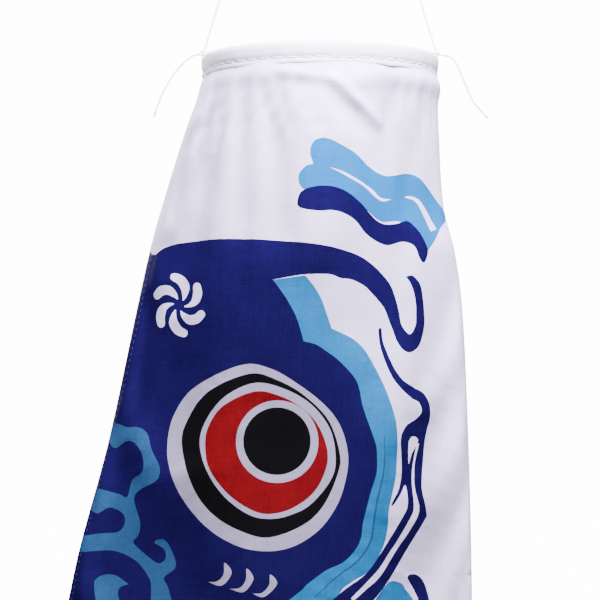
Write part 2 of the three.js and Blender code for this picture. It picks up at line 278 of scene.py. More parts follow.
def ring_noise(turn, size, height, shift=0):
    """Noise that closes on itself around the mouth."""
    return noise.noise(Vector((math.cos(turn) * size + shift, math.sin(turn) * size, height)))


def crease_push(turn, drop):
    """How far the creases push the wall outwards."""
    arc = turn * TURN_SCALE
    out = 0.0
    for (turn_a, drop_a), (turn_b, drop_b), width, depth in CREASES:
        ax, ay = turn_a * TURN_SCALE, drop_a
        dx, dy = turn_b * TURN_SCALE - ax, drop_b - ay
        along = ((arc - ax) * dx + (drop - ay) * dy) / (dx * dx + dy * dy)
        near = min(max(along, 0), 1)
        gap = math.hypot(arc - ax - dx * near, drop - ay - dy * near)
        if gap < 3 * width:
            fade = 1 - 0.5 * abs(2 * near - 1)
            out += depth * fade * math.exp(-((gap / width) ** 2))
    return out


def ripple(turn, drop):
    """Creases, gathers under the hem, and slow and fine unevenness further down."""
    gathers = ring_noise(turn, 5.5, drop * 0.012) * math.exp(-max(drop - 10, 0) / GATHER_FADE)
    slow = ring_noise(turn, 1.7, drop * 0.017, 4)
    fine = ring_noise(turn, 6, drop * 0.06, 9)
    out = crease_push(turn, drop) + gathers * smoothstep(drop, HEM_END, 17)
    return out + smoothstep(drop, HEM_END, 30) * (2.0 * slow + 0.4 * fine)


def swell(turn, drop):
    """The cloth puffs out as it leaves the hem, most of all on the belly side."""
    bulge = SWELL_FACES + SWELL_BELLY * math.cos(turn)
    return bulge * math.exp(-(((drop - SWELL_DROP) / SWELL_REACH) ** 2))


def tail_edge(turn):
    return BODY_LENGTH - TAIL_NOTCH * (1 - abs(math.cos(turn)))


# ---------------------------------------------------------------- cloth simulation
SIM_TOP = 12
SIM_TURNS = 80
SIM_ROWS = 96
SIM_SCALE = 5  # Blender's cloth behaves better on a larger copy
SIM_FRAMES = 26
SIM_CAP = 6
SIM_SIDEWAYS = 0.3  # share of the movement that is kept across the fish
CLOTH_SETTINGS = dict(
    quality=6, mass=0.12, tension_stiffness=18, compression_stiffness=12, shear_stiffness=8,
    bending_stiffness=0.25, air_damping=2, vertex_group_mass="held", pin_stiffness=0.6, shrink_min=-0.025,
)
BREEZE = dict(type="TURBULENCE", strength=6, size=0.55, seed=5)


def drape_tube():
    """The plain tube as a large cloth, held hard at the mouth and softly along its folds."""
    points = []
    for row in range(SIM_ROWS + 1):
        for column in range(SIM_TURNS):
            turn = 2 * math.pi * column / SIM_TURNS
            drop = SIM_TOP + (tail_edge(turn) - SIM_TOP) * row / SIM_ROWS
            points.append(bare_wall(turn, drop) * MM * SIM_SCALE)
    mesh = bpy.data.meshes.new("drape")
    mesh.from_pydata(points, [], ring_faces(SIM_ROWS + 1, SIM_TURNS, closed=False))
    tube = linked("drape", mesh)
    held = tube.vertex_groups.new(name="held")
    for index in range(len(points)):
        row, column = divmod(index, SIM_TURNS)
        seam = abs(math.sin(2 * math.pi * column / SIM_TURNS)) < 0.12
        held.add([index], 1.0 if row == 0 else 0.5 if seam else 0.05, "REPLACE")
    cloth = tube.modifiers.new("cloth", "CLOTH")
    for name, value in CLOTH_SETTINGS.items():
        setattr(cloth.settings, name, value)
    cloth.collision_settings.use_collision = False
    return tube, points


def add_breeze(height):
    wind = linked("wind", None)
    wind.location = (0, 0, height)
    with bpy.context.temp_override(active_object=wind, object=wind, selected_objects=[wind]):
        bpy.context.view_layer.objects.active = wind
        bpy.ops.object.forcefield_toggle()
    for name, value in BREEZE.items():
        setattr(wind.field, name, value)
    return wind


def simulate_drape():
    """Hangs the tube from its mouth and returns how far each grid point moved, in millimetres."""
    tube, points = drape_tube()
    wind = add_breeze(points[0].z)
    scene = bpy.context.scene
    for step in range(1, SIM_FRAMES + 1):
        scene.frame_set(step)
    final = tube.evaluated_get(bpy.context.evaluated_depsgraph_get()).data
    moved = np.empty(len(points) * 3)
    final.vertices.foreach_get("co", moved)
    moved = (moved.reshape(-1, 3) - np.array(points)) / (MM * SIM_SCALE)
    scene.frame_set(1)
    bpy.data.objects.remove(tube)
    bpy.data.objects.remove(wind)
    size = np.linalg.norm(moved, axis=1, keepdims=True)
    moved *= np.minimum(1, SIM_CAP / np.maximum(size, 1e-6))
    return moved.reshape(SIM_ROWS + 1, SIM_TURNS, 3)


DRAPE = simulate_drape()


def draped(turn, drop):
    """The simulated movement at a place, fading out at the two folds and the mouth."""
    if DRAPE is None or drop < SIM_TOP:
        return Vector((0, 0, 0))
    row = (drop - SIM_TOP) / (tail_edge(turn) - SIM_TOP) * SIM_ROWS
    row = min(max(row, 0), SIM_ROWS - 0.001)
    column = turn / (2 * math.pi) * SIM_TURNS
    r0, c0 = int(row), int(math.floor(column))
    fr, fc = row - r0, column - c0
    fr, fc = fr * fr * (3 - 2 * fr), fc * fc * (3 - 2 * fc)
    c0, c1 = c0 % SIM_TURNS, (c0 + 1) % SIM_TURNS
    top = DRAPE[r0, c0] * (1 - fc) + DRAPE[r0, c1] * fc
    low = DRAPE[r0 + 1, c0] * (1 - fc) + DRAPE[r0 + 1, c1] * fc
    offset = top * (1 - fr) + low * fr
    face = smoothstep(abs(math.sin(turn)), 0.05, 0.5)
    return Vector((offset[0] * SIM_SIDEWAYS * face, offset[1] * face, 0))


def wall(turn, drop, out=0.0):
    """A point on the finished cloth, out millimetres proud of it."""
    face = smoothstep(abs(math.sin(turn)), 0.0, 0.35)
    push = ripple(turn, drop) * face + swell(turn, drop) + out
    return bare_wall(turn, drop) + draped(turn, drop) + wall_normal(turn, drop) * push


# ---------------------------------------------------------------- materials
def principled(name):
    material = bpy.data.materials.new(name)
    material.use_nodes = True
    tree = material.node_tree
    return material, tree, tree.nodes["Principled BSDF"]


def add_node(tree, kind, sockets):
    """A shader node: each of its sockets takes a value, or the output of another node."""
    node = tree.nodes.new(f"ShaderNode{kind}")
    for name, value in sockets.items():
        if isinstance(value, bpy.types.NodeSocket):
            tree.links.new(value, node.inputs[name])
        else:
            node.inputs[name].default_value = value
    return node


def noise_of(tree, scale, detail, spread=0.5):
    where = tree.nodes.new("ShaderNodeTexCoord").outputs["Object"]
    sockets = {"Vector": where, "Scale": scale, "Detail": detail, "Roughness": spread}
    return add_node(tree, "TexNoise", sockets).outputs["Fac"]


def ranged(tree, value, low, high, start=0.3, end=0.7):
    limits = {"From Min": start, "From Max": end, "To Min": low, "To Max": high}
    return add_node(tree, "MapRange", {"Value": value, **limits}).outputs["Result"]


def maths(tree, operation, a, b):
    node = add_node(tree, "Math", {0: a, 1: b})
    node.operation = operation
    return node.outputs[0]


def tinted(tree, bsdf, dark, light, factor):
    mix = tree.nodes.new("ShaderNodeMix")
    mix.data_type = "RGBA"
    mix.inputs["A"].default_value = (*dark, 1)
    mix.inputs["B"].default_value = (*light, 1)
    tree.links.new(factor, mix.inputs["Factor"])
    tree.links.new(mix.outputs["Result"], bsdf.inputs["Base Color"])


def bumped(tree, bsdf, height, strength, distance):
    bump = add_node(tree, "Bump", {"Strength": strength, "Distance": distance, "Height": height})
    tree.links.new(bump.outputs["Normal"], bsdf.inputs["Normal"])


THREAD_PITCH = 0.42  # of the woven cloth
WAVE_SCALE = 0.314 / THREAD_PITCH  # at scale 1 a wave texture has a band every 0.314 units


def cloth_map(tree):
    """The cloth's own flat places, in millimetres."""
    where = tree.nodes.new("ShaderNodeUVMap")
    where.uv_map = "cloth"
    return where.outputs["UV"]


def weave_height(tree):
    """Threads over and under: two crossed sets of ribs."""
    ribs = []
    where = cloth_map(tree)
    for direction in ("X", "Y"):
        sockets = {"Vector": where, "Scale": WAVE_SCALE, "Distortion": 0.6, "Detail": 1}
        wave = add_node(tree, "TexWave", sockets)
        wave.wave_type = "BANDS"
        wave.bands_direction = direction
        ribs.append(wave.outputs["Fac"])
    return maths(tree, "MULTIPLY", *ribs)


def streaks(tree, across, along):
    """Thick and thin threads: noise drawn out along one direction of the weave."""
    drawn_out = add_node(tree, "Mapping", {"Vector": cloth_map(tree), "Scale": (across, along, 1)})
    sockets = {"Vector": drawn_out.outputs["Vector"], "Scale": 1, "Detail": 3}
    return add_node(tree, "TexNoise", sockets).outputs["Fac"]


def fabric(name, dark, light, sheen=0.0, shine=0.04):
    """Thin printed polyester: weave, uneven thread, soft sheen and a little dye variation."""
    material, tree, bsdf = principled(name)
    threads = weave_height(tree)
    patches = noise_of(tree, 26, 4)
    slubs = noise_of(tree, 620, 2)
    drawn = maths(tree, "ADD", streaks(tree, 1.6, 0.07), streaks(tree, 0.07, 1.6))
    blotches = maths(tree, "ADD", maths(tree, "MULTIPLY", patches, 0.4), maths(tree, "MULTIPLY", slubs, 0.2))
    blotches = maths(tree, "ADD", blotches, maths(tree, "MULTIPLY", drawn, 0.2))
    tinted(tree, bsdf, dark, light, ranged(tree, blotches, 0, 1, 0.4, 0.6))
    tree.links.new(ranged(tree, slubs, 0.62, 0.8), bsdf.inputs["Roughness"])
    height = maths(tree, "ADD", maths(tree, "MULTIPLY", threads, 0.6), drawn)
    bumped(tree, bsdf, height, 0.35, 0.00012)
    bsdf.inputs["Sheen Weight"].default_value = sheen
    bsdf.inputs["Sheen Roughness"].default_value = 0.5
    bsdf.inputs["Specular IOR Level"].default_value = shine
    return material


def grained(name, dark, light, grain, rough, relief=None):
    """One fine grain, (scale, detail), drives tint, roughness and relief, (strength, depth)."""
    material, tree, bsdf = principled(name)
    fine = noise_of(tree, *grain)
    tinted(tree, bsdf, dark, light, ranged(tree, fine, 0, 1))
    tree.links.new(ranged(tree, fine, *rough), bsdf.inputs["Roughness"])
    if relief:
        bumped(tree, bsdf, fine, *relief)
    return material


def thread_material(name, dark, light):
    """Spun thread: fine fibres along and across it."""
    material = grained(name, dark, light, (2600, 3), (0.7, 0.9), (0.5, 0.00008))
    material.node_tree.nodes["Principled BSDF"].inputs["Sheen Weight"].default_value = 0.3
    return material


def metal(name, dark, light, rough):
    """Drawn, tumbled wire: fine scratches, small dents and a duller patch here and there."""
    material, tree, bsdf = principled(name)
    scratches = noise_of(tree, 1800, 6, spread=0.7)
    patches = noise_of(tree, 160, 3)
    tinted(tree, bsdf, dark, light, ranged(tree, patches, 0, 1))
    tree.links.new(ranged(tree, scratches, rough, rough + 0.2), bsdf.inputs["Roughness"])
    bumped(tree, bsdf, scratches, 0.2, 0.00005)
    bsdf.inputs["Metallic"].default_value = 1
    return material


def plastic(name, dark, light):
    """Extruded plastic rod: satin, with faint drawing lines."""
    return grained(name, dark, light, (900, 4), (0.35, 0.5), (0.15, 0.0001))


INKS = {
    "white": fabric("cloth_white", (0.73, 0.66, 0.86), (0.83, 0.76, 0.96), 0.12, 0.3),
    "rim": fabric("cloth_rim", (0.29, 0.27, 0.35), (0.36, 0.33, 0.42), 0.06, 0.2),
    "navy": fabric("cloth_navy", (0.0045, 0.0019, 0.037), (0.0080, 0.0034, 0.060)),
    "sky": fabric("cloth_sky", (0.008, 0.142, 0.30), (0.012, 0.182, 0.38)),
    "pale": fabric("cloth_pale", (0.003, 0.138, 0.345), (0.006, 0.17, 0.42)),
    "teal": fabric("cloth_teal", (0.016, 0.064, 0.138), (0.025, 0.085, 0.18)),
    "red": fabric("cloth_red", (0.125, 0.0027, 0.0042), (0.185, 0.0047, 0.0068)),
    "black": fabric("cloth_black", (0.0022, 0.0022, 0.0025), (0.0035, 0.0035, 0.0038)),
}
INK_ORDER = list(INKS)
# The hem's strip is the white cloth made a little greyer than the body's white: painted shade.
HEM_CLOTH_PAINTED_SHADE = fabric("hem_cloth_painted_shade", (0.66, 0.64, 0.72), (0.76, 0.74, 0.81), 0.12, 0.3)
CORD_WHITE = thread_material("cord_white", (0.72, 0.72, 0.73), (0.88, 0.88, 0.89))
SEWING_WHITE = thread_material("sewing_white", (0.84, 0.84, 0.92), (0.94, 0.94, 0.99))
SEWING_BLUE = thread_material("sewing_blue", (0.010, 0.010, 0.07), (0.03, 0.035, 0.13))
NICKEL = metal("nickel_wire", (0.50, 0.49, 0.47), (0.66, 0.65, 0.63), 0.18)
HOOP_PLASTIC = plastic("hoop_plastic", (0.78, 0.78, 0.75), (0.88, 0.88, 0.85))


# ---------------------------------------------------------------- mesh helpers
def new_piece(name, points, faces, materials, indices=None):
    """A smooth mesh object in metres from points in millimetres."""
    mesh = bpy.data.meshes.new(name)
    mesh.from_pydata([tuple(p * MM for p in point) for point in points], [], faces)
    for material in materials:
        mesh.materials.append(material)
    if indices is not None:
        mesh.polygons.foreach_set("material_index", indices)
    mesh.polygons.foreach_set("use_smooth", [True] * len(mesh.polygons))
    mesh.validate()
    mesh.update()
    return linked(name, mesh)


def lobed(angle, lobes, depth):
    """Share of the radius at an angle around a section of so many strands."""
    return 1 - depth * (0.5 - 0.5 * math.cos(lobes * angle)) if lobes else 1


def swept(path, radii, sides, twist=None, lobes=0, lobe_depth=0.0, closed=False):
    """Points and faces of a round or twisted section carried along a path."""
    path = [Vector(p) for p in path]
    count = len(path)
    points = []
    across = (path[1] - path[0]).normalized().orthogonal().normalized()
    travelled = 0.0
    for i, centre in enumerate(path):
        if closed:
            ahead = path[(i + 1) % count] - path[i - 1]
        else:
            ahead = path[min(i + 1, count - 1)] - path[max(i - 1, 0)]
        tangent = ahead.normalized()
        across = (across - tangent * across.dot(tangent)).normalized()
        other = tangent.cross(across)
        if i:
            travelled += (centre - path[i - 1]).length
        radius = radii if isinstance(radii, (int, float)) else radii[i]
        spin = 2 * math.pi * travelled / twist if twist else 0
        for k in range(sides):
            angle = 2 * math.pi * k / sides
            outward = across * math.cos(angle) + other * math.sin(angle)
            points.append(centre + outward * radius * lobed(angle - spin, lobes, lobe_depth))
    faces = ring_faces(count, sides, closed)
    if not closed:
        faces.append(tuple(range(sides - 1, -1, -1)))
        faces.append(tuple((count - 1) * sides + k for k in range(sides)))
    return points, faces


def joined(parts):
    """Several (points, faces) as one."""
    points, faces = [], []
    for more_points, more_faces in parts:
        shift = len(points)
        points.extend(more_points)
        faces.extend(tuple(i + shift for i in face) for face in more_faces)
    return points, faces


def spline(a, b, c, d, t):
    """A point between b and c on the smooth line through four points."""
    return 0.5 * (2 * b + (c - a) * t + (2 * a - 5 * b + 4 * c - d) * t * t + (3 * b - a - 3 * c + d) * t**3)


def curve_through(points, step):
    """A smooth open route through points, with a sample every step."""
    points = [Vector(p) for p in points]
    padded = [points[0] * 2 - points[1], *points, points[-1] * 2 - points[-2]]
    route = []
    for i in range(1, len(padded) - 2):
        a, b, c, d = padded[i - 1 : i + 3]
        pieces = max(2, round((c - b).length / step))
        route += [spline(a, b, c, d, k / pieces) for k in range(pieces)]
    route.append(points[-1])
    return route


def route_length(route):
    return sum((b - a).length for a, b in zip(route, route[1:]))


# ---------------------------------------------------------------- cords and knots
CORD_SIDES = 12
CORD_TWIST = 12.6  # the length of one full twist of the cord's three strands
CORD_STEP = 0.7


def cord_mesh(route):
    return swept(route, CORD_D / 2, CORD_SIDES, twist=CORD_TWIST, lobes=3, lobe_depth=0.16)


def declare_cord(name, route, body, node):
    piece = new_piece(name, *cord_mesh(route), [CORD_WHITE])
    route_length(route) * MM
    settle(piece, "cord", body, node)


TAUT_BOW = 0.15


def cord_leg(word, knot, top):
    """One taut cord, from its knot on the mouth up to the knot under its ring."""
    bottom = knot + Vector((0, 0, 0.3))
    top = top - Vector((0, 0, 1.2))
    steps = int((top - bottom).length / CORD_STEP)
    route = []
    for i in range(steps + 1):
        bow = Vector((0, TAUT_BOW * math.sin(math.pi * i / steps), 0))
        route.append(bottom.lerp(top, i / steps) + bow)
    declare_cord(f"taut_cord_{word}", route, "cords", f"cord_leg_{word}")


# The loose ends: how far out from the knot and how far down, in millimetres.
BACK_END_ROUTE = [
    (0.4, 0), (1.8, 0.2), (4.2, 0.8), (8, 3.8), (12.3, 9.2), (15.9, 15.7), (17.9, 20.6), (18.8, 23.4),
]
BELLY_END_ROUTE = [
    (0.4, 0), (1.8, 0.4), (5, 1.1), (7.6, 3.6), (9.6, 8), (12.3, 14.6), (14.2, 18.6), (18, 23), (19.2, 24.6),
]
FRAY_FIBRES = 9
FRAY_SPREAD = 0.55


def loose_end(word, knot, side, ends):
    route = curve_through([knot + Vector((side * out, 0, -down)) for out, down in ends], CORD_STEP)
    declare_cord(f"loose_cord_{word}", route, f"cord_end_{word}", f"cord_end_{word}")


def frayed_tip(word, knot, side, ends):
    """The last millimetre of a cut cord, opened into a few fibres."""
    (out_a, down_a), (out_b, down_b) = ends[-2:]
    tip = knot + Vector((side * out_b, 0, -down_b))
    along = Vector((side * (out_b - out_a), 0, -(down_b - down_a))).normalized()
    parts = []
    for _ in range(FRAY_FIBRES):
        spread = Vector((rng.uniform(-1, 1), rng.uniform(-1, 1), rng.uniform(-1, 1))) * FRAY_SPREAD
        start = tip + spread * 0.3 - along * 0.6
        middle = tip + spread * 0.6 + along * 0.3
        end = tip + spread * 1.1 + along * rng.uniform(0.8, 1.5)
        parts.append(swept([start, middle, end], [0.1, 0.08, 0.04], 5))
    piece = new_piece(f"frayed_tip_{word}", *joined(parts), [CORD_WHITE])
    settle(piece, "cord", f"cord_end_{word}")


KNOT_STEPS = 72
KNOT_FLAT = 0.8


def trefoil(centre, size, lean):
    """The line of an overhand knot pulled tight, leaning in the fish's own plane."""
    route = []
    for i in range(KNOT_STEPS):
        t = 2 * math.pi * i / KNOT_STEPS
        x = (math.sin(t) + 2 * math.sin(2 * t)) / 3 * size
        z = (math.cos(t) - 2 * math.cos(2 * t)) / 3 * KNOT_FLAT * size
        y = -math.sin(3 * t) * 0.42 * size
        across = x * math.cos(lean) - z * math.sin(lean)
        route.append(centre + Vector((across, y, x * math.sin(lean) + z * math.cos(lean))))
    return route


def knot_piece(name, centre, size, lean, body, node):
    line = trefoil(centre, size, lean)
    cord = swept(line, CORD_D / 2, 10, lobes=3, lobe_depth=0.14, twist=9.6, closed=True)
    settle(new_piece(name, *cord, [CORD_WHITE]), "cord", body, node)


def arc_route(centre, radius, start, end, plane, steps):
    route = []
    for i in range(steps + 1):
        turn = start + (end - start) * i / steps
        across, up = radius * math.sin(turn), radius * math.cos(turn)
        route.append(centre + (Vector((across, 0, up)) if plane == "XZ" else Vector((0, across, up))))
    return route


TIE_TIGHTNESS = 0.66
TIE_OPEN = 0.3  # half the angle that the knot takes up of the turn around the hoop
LOOP_OPEN = 0.32


def hoop_turn(word, knot, side):
    """The cord's turn around the hoop, through the hem."""
    centre = Vector((side * (abs(knot.x) - 1.8), 0, HOOP.z))
    reach = (knot - centre).length
    lean = math.atan2(knot.x - centre.x, knot.z - centre.z)
    route = arc_route(centre, reach, lean + TIE_OPEN, lean + 2 * math.pi - TIE_OPEN, "XZ", 48)
    for spot in route:
        spot.x = centre.x + (spot.x - centre.x) * TIE_TIGHTNESS
    piece = new_piece(f"hoop_turn_{word}", *cord_mesh(route), [CORD_WHITE])
    settle(piece, "cord", "mouth", f"tie_loop_{word}")


def top_loop(word, top):
    """The small loop tied into a cord's top, around its ring."""
    low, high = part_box(f"top_loop_{word}")
    radius = (high[1] - low[1]) / 2 / MM - CORD_D / 2
    centre = Vector((top.x, 0, high[2] / MM - CORD_D / 2 - radius))
    loop = arc_route(centre, radius, LOOP_OPEN - math.pi, math.pi - LOOP_OPEN, "YZ", 40)
    loop = [top + Vector((0, -0.3, 0.6)), *loop, top + Vector((0, 0.3, 0.6))]
    piece = new_piece(f"ring_loop_{word}", *cord_mesh(curve_through(loop, CORD_STEP)), [CORD_WHITE])
    settle(piece, "cord", "cords", f"top_loop_{word}")


def make_cords():
    sides = (
        ("back", KNOT_BACK, TOP_BACK, -1, BACK_END_ROUTE),
        ("belly", KNOT_BELLY, TOP_BELLY, 1, BELLY_END_ROUTE),
    )
    for word, knot, top, side, ends in sides:
        cord_leg(word, knot, top)
        loose_end(word, knot, side, ends)
        frayed_tip(word, knot, side, ends)
        knot_piece(f"tied_knot_{word}", knot, 1.05, side * 0.5, "mouth", f"tie_knot_{word}")
        knot_piece(f"loop_knot_{word}", top, 1.5, side * 0.2, "cords", f"top_knot_{word}")
        hoop_turn(word, knot, side)
        top_loop(word, top)


make_cords()


# ---------------------------------------------------------------- rings
COIL_WIRE = 0.36
COIL_TURNS = 1.9
COIL_STEPS = 150


def make_rings():
    """Two split rings, each a flat coil of nearly two turns."""
    for word in ("back", "belly"):
        node = f"hanging_ring_{word}"
        low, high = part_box(node)
        centre = node_centre(node)
        radius = (high[2] - low[2]) / 2 / MM - 2 * COIL_WIRE
        coil = []
        for i in range(COIL_STEPS + 1):
            turn = 2 * math.pi * COIL_TURNS * i / COIL_STEPS + 0.4
            side = (i / COIL_STEPS - 0.5) * 2 * COIL_WIRE * 0.98
            coil.append(centre + Vector((radius * math.cos(turn), side, radius * math.sin(turn))))
        piece = new_piece(f"split_ring_{word}", *swept(coil, COIL_WIRE, 12), [NICKEL])
        settle(piece, "nickel", "hanger", node)


make_rings()

for node in ("mouth_hoop", "hoop_joiner"):
    hoop_part = bpy.data.objects[node]
    hoop_part.data.materials.clear()
    hoop_part.data.materials.append(HOOP_PLASTIC)


# ---------------------------------------------------------------- the printed pattern
def rounded_line(points, step, closed=True):
    """A smooth line through (x, y) or (x, y, 1) points; the 1 marks a sharp corner."""
    count = len(points)
    spots = [Vector(p[:2]) for p in points]
    corner = [len(p) > 2 for p in points]
    line = []
    for i in range(count if closed else count - 1):
        j = (i + 1) % count
        b, c = spots[i], spots[j]
        a = 2 * b - c if corner[i] or (not closed and i == 0) else spots[i - 1]
        d = 2 * c - b if corner[j] or (not closed and j == count - 1) else spots[(j + 1) % count]
        pieces = max(1, round((c - b).length / step))
        line += [spline(a, b, c, d, k / pieces) for k in range(pieces)]
    if not closed:
        line.append(spots[-1])
    return line


def line_side(line, i):
    """Direction square to a flat line at one of its points."""
    ahead = (line[min(i + 1, len(line) - 1)] - line[max(i - 1, 0)]).normalized()
    return Vector((-ahead.y, ahead.x))


def stroke(points, widths, step=1.0):
    """The outline of a brush stroke: a centre line with a width at each of its points."""
    line = rounded_line(points, step, closed=False)
    left, right = [], []
    for i, spot in enumerate(line):
        place = i / (len(line) - 1) * (len(widths) - 1)
        low = min(int(place), len(widths) - 2)
        half = (widths[low] + (widths[low + 1] - widths[low]) * (place - low)) / 2
        aside = line_side(line, i) * half
        left.append(spot + aside)
        right.append(spot - aside)
    ahead = (line[-1] - line[-2]).normalized() * widths[-1] / 2
    aside = Vector((-ahead.y, ahead.x))
    cap = [line[-1] + ahead * math.sin(turn) + aside * math.cos(turn) for turn in (0.5, 1.05, 1.6, 2.1, 2.65)]
    return left + cap + right[::-1]


def circle(x, y, radius):
    count = round(2 * math.pi * radius)
    turns = [2 * math.pi * k / count for k in range(count)]
    return [Vector((x + radius * math.cos(turn), y + radius * math.sin(turn))) for turn in turns]


# The face, drawn as the viewer sees it: x across, y down from the knots.
HEAD_EDGE = [
    (-90, 76, 1), (-65.7, 76.2, 1), (-64, 77.4, 1), (-59.4, 74.3), (-51.7, 72.4), (-40.2, 71.4),
    (-26.8, 71.6),
    (-11.5, 72.6), (1.9, 74.3), (13, 77.4), (18.8, 80.6), (24.5, 85.8), (27.6, 90), (29.5, 95.4),
    (30.6, 100.3), (31.4, 104.6), (34.3, 108), (36.8, 104.6), (37.2, 100.3), (37.2, 96.1), (36.4, 91.5),
    (34.9, 87.9), (33.3, 85.8, 1), (35.8, 85.3), (37.9, 86.9), (39.4, 89.2), (40.2, 93.5), (40.6, 98.8),
    (40.6, 104.2), (39.4, 109.5), (37.5, 113), (34.3, 114.9), (31.8, 114.1), (29.5, 111.1), (28, 106.9),
    (26.4, 102.8), (24.5, 98), (20.7, 93.5), (16.5, 89.6), (11.5, 87.3), (7.7, 86.9), (3.4, 85.4),
    (-5.4, 85.4), (-14.2, 86.6), (-18.2, 87.3, 1), (-10, 90, 1), (-3, 102), (4, 109), (12, 114), (18, 122),
    (23, 135),
    (25, 150), (23, 166), (20, 182), (14, 194), (4, 202), (-8, 212), (-20, 218), (-28, 223, 1),
    (-44, 238), (-62, 246), (-84, 245), (-104, 235), (-125, 222, 1), (-120, 76, 1),
]
HEAD_REAR = [(-26, 219.5), (-33, 229), (-45, 239), (-62, 247), (-84, 246), (-104, 236), (-125, 223)]
FACE_GROUND = [(-125, -10, 1), (80, -10, 1), (80, 222, 1), (-28, 222, 1), (-125, 222, 1)]
FLOURISH_UPPER = [
    (-3.9, 38.2), (-2.9, 34.6), (0, 32.8), (3.8, 33.2), (7.7, 35.2), (13.4, 38.6), (19, 44), (25.7, 47.3),
    (34.5, 46.3), (38.3, 47.5),
    (41.7, 51.3), (45.2, 57.5), (47.9, 63.2), (46.3, 67.2, 1), (44.8, 72.4), (42.9, 75.5, 1), (38.3, 68.6),
    (30.6, 64.7), (23, 64.7), (15.3, 58.2), (8.8, 53.6), (1.5, 51.7), (-6.5, 52.5), (-8.4, 47.5),
    (-5.4, 43.5), (-2.7, 42.9, 1),
]
SLIT_A = [
    (3.4, 44, 1), (9.2, 46), (15.3, 49.4), (19.9, 52.5), (23, 55.5), (27.6, 56.3, 1), (24.1, 57.1),
    (21.1, 55.5), (17.6, 52.1), (11.9, 48.6), (6.5, 45.6),
]
SLIT_B = [
    (33.7, 55.3, 1), (36, 54.8), (39.1, 56.3), (41.4, 59.9), (45.2, 67.4, 1), (43.7, 68.2, 1), (40.6, 61.7),
    (37.9, 56.9),
]
FLOURISH_LOWER = [
    (-8.8, 56.9), (-6.5, 52.9), (1.5, 51.2), (8.8, 52.9), (15.3, 57.8), (21.1, 64), (25.3, 65.9),
    (29.9, 65.5), (34.5, 64.3), (37.5, 66.3), (40.6, 70.1), (42.9, 75.8), (41.2, 80.4), (39.4, 78.9),
    (37.2, 73.9), (32.2, 72.4), (25.3, 73.9), (18, 70.1), (13.4, 64.7), (9.2, 62), (4.6, 60.7),
    (-0.8, 60.9), (-7.7, 59.7),
]
GILL_BAND = [
    (-18.1, 87.3, 1), (-15.3, 91.2), (-11.9, 96.5), (-9.2, 101.9), (-7.3, 108), (-6.5, 111.1, 1),
    (-1.9, 112.2), (2.9, 115.3), (7.7, 119.1), (13.8, 126.4), (16.3, 136.7), (20.7, 149.4), (21.4, 155.9),
    (21.1, 161.6), (19.1, 168.1), (16.3, 179.2), (15.3, 185.8), (13, 190.4), (8.4, 194.9), (1.9, 198),
    (-5.4, 203.4), (-7.7, 205.7), (-19.1, 214.1), (-30.6, 217.9, 1), (-24.9, 224.8, 1), (-11.5, 221),
    (5.4, 208.4), (8.4, 204.7), (13, 201.5), (17.6, 198.8), (21.6, 193.8), (24.3, 188.1), (25.7, 181.9),
    (26, 175.8), (27.2, 169.7), (28.7, 162), (29.1, 154.7), (29.1, 147.5), (28.3, 140.2), (25.7, 131.8),
    (23, 125.2), (19.9, 119.1), (16.5, 113.8), (12.1, 109.9), (4.2, 106.1, 1), (1.9, 99.2), (0, 94.2),
    (-3.1, 89.2), (-5.9, 85.8, 1),
]
GILL_VEIN = [
    (24.1, 147.1), (24.3, 153.6), (23.7, 162), (21.6, 171), (20.3, 179.2), (19.5, 185.8), (17.2, 190.4),
    (13, 195.3), (6.1, 200.3), (-2.3, 208),
]
LIP = [
    (22.3, 105.9), (23.4, 105.6), (23.9, 110.6), (25.8, 116), (28.3, 121.4), (31.4, 125.6), (35.8, 128.3),
    (39.4, 130.2),
    (41.9, 134.4), (42.3, 139.4), (41.2, 144), (40.2, 149.4), (39.1, 162), (39.1, 167), (41, 175.8),
    (40.2, 178.9), (32.9, 190.5), (26.4, 201.3), (20.3, 209.1), (11.5, 217.9, 1), (-0.8, 214.1, 1),
    (8.4, 205.7), (17.6, 198.8), (24.5, 189.2), (31.4, 177.7), (33.3, 173.5), (33.3, 168.9), (32.4, 165.3),
    (30.7, 168.7), (28.4, 172.3), (26.9, 173.8, 1), (27.2, 172.4), (29.3, 168.5), (30.3, 165.4), (31, 161),
    (30.9, 156), (30.4, 149.4), (30.6, 146.7), (31.6, 144.4), (33.3, 142.1), (36, 140.6), (38.3, 138.3),
    (38.7, 136.3), (37.5, 133.7), (34.9, 132.5), (31, 129.1), (27.6, 124.9), (24.9, 119.1),
    (22.8, 112.2),
]
LIP_LOOP = [(35.8, 146.7), (33.7, 148.6), (33.7, 157.4), (34.9, 153.6), (36.8, 150.1), (37.5, 148)]
LIP_CHANNEL = [
    (36.9, 149.6, 1), (35.6, 156.3), (35, 162.2), (35.3, 167), (35.8, 172), (35.6, 175.4), (33.9, 178.9),
    (29.5, 186.5), (26.4, 191.1), (22.6, 196.9), (18, 201.9), (11.5, 208.4, 1), (12.3, 209.5, 1),
    (17.6, 204.9), (23, 199.9), (29.5, 189.6), (33.3, 184.2), (37.2, 177.8), (38, 173.5), (36.6, 168.1),
    (36, 162.9), (36.4, 156.3), (37.9, 149.4, 1),
]
CHIN_BLOB = [
    (26.4, 202.2), (31.4, 202.6), (32.9, 204.7), (36.4, 209.1), (38.3, 215.2), (30.6, 224.8), (15.3, 226.7),
    (12.3, 219.1), (20.7, 209.1),
]
CHIN_COMMA = [
    (33.7, 200.3), (35.8, 199), (38.7, 199.9), (41.2, 203.4), (42.9, 211.8), (41.4, 221), (36, 228.7, 1),
    (38.3, 217.9), (38.3, 209.5), (36.4, 204.9),
]
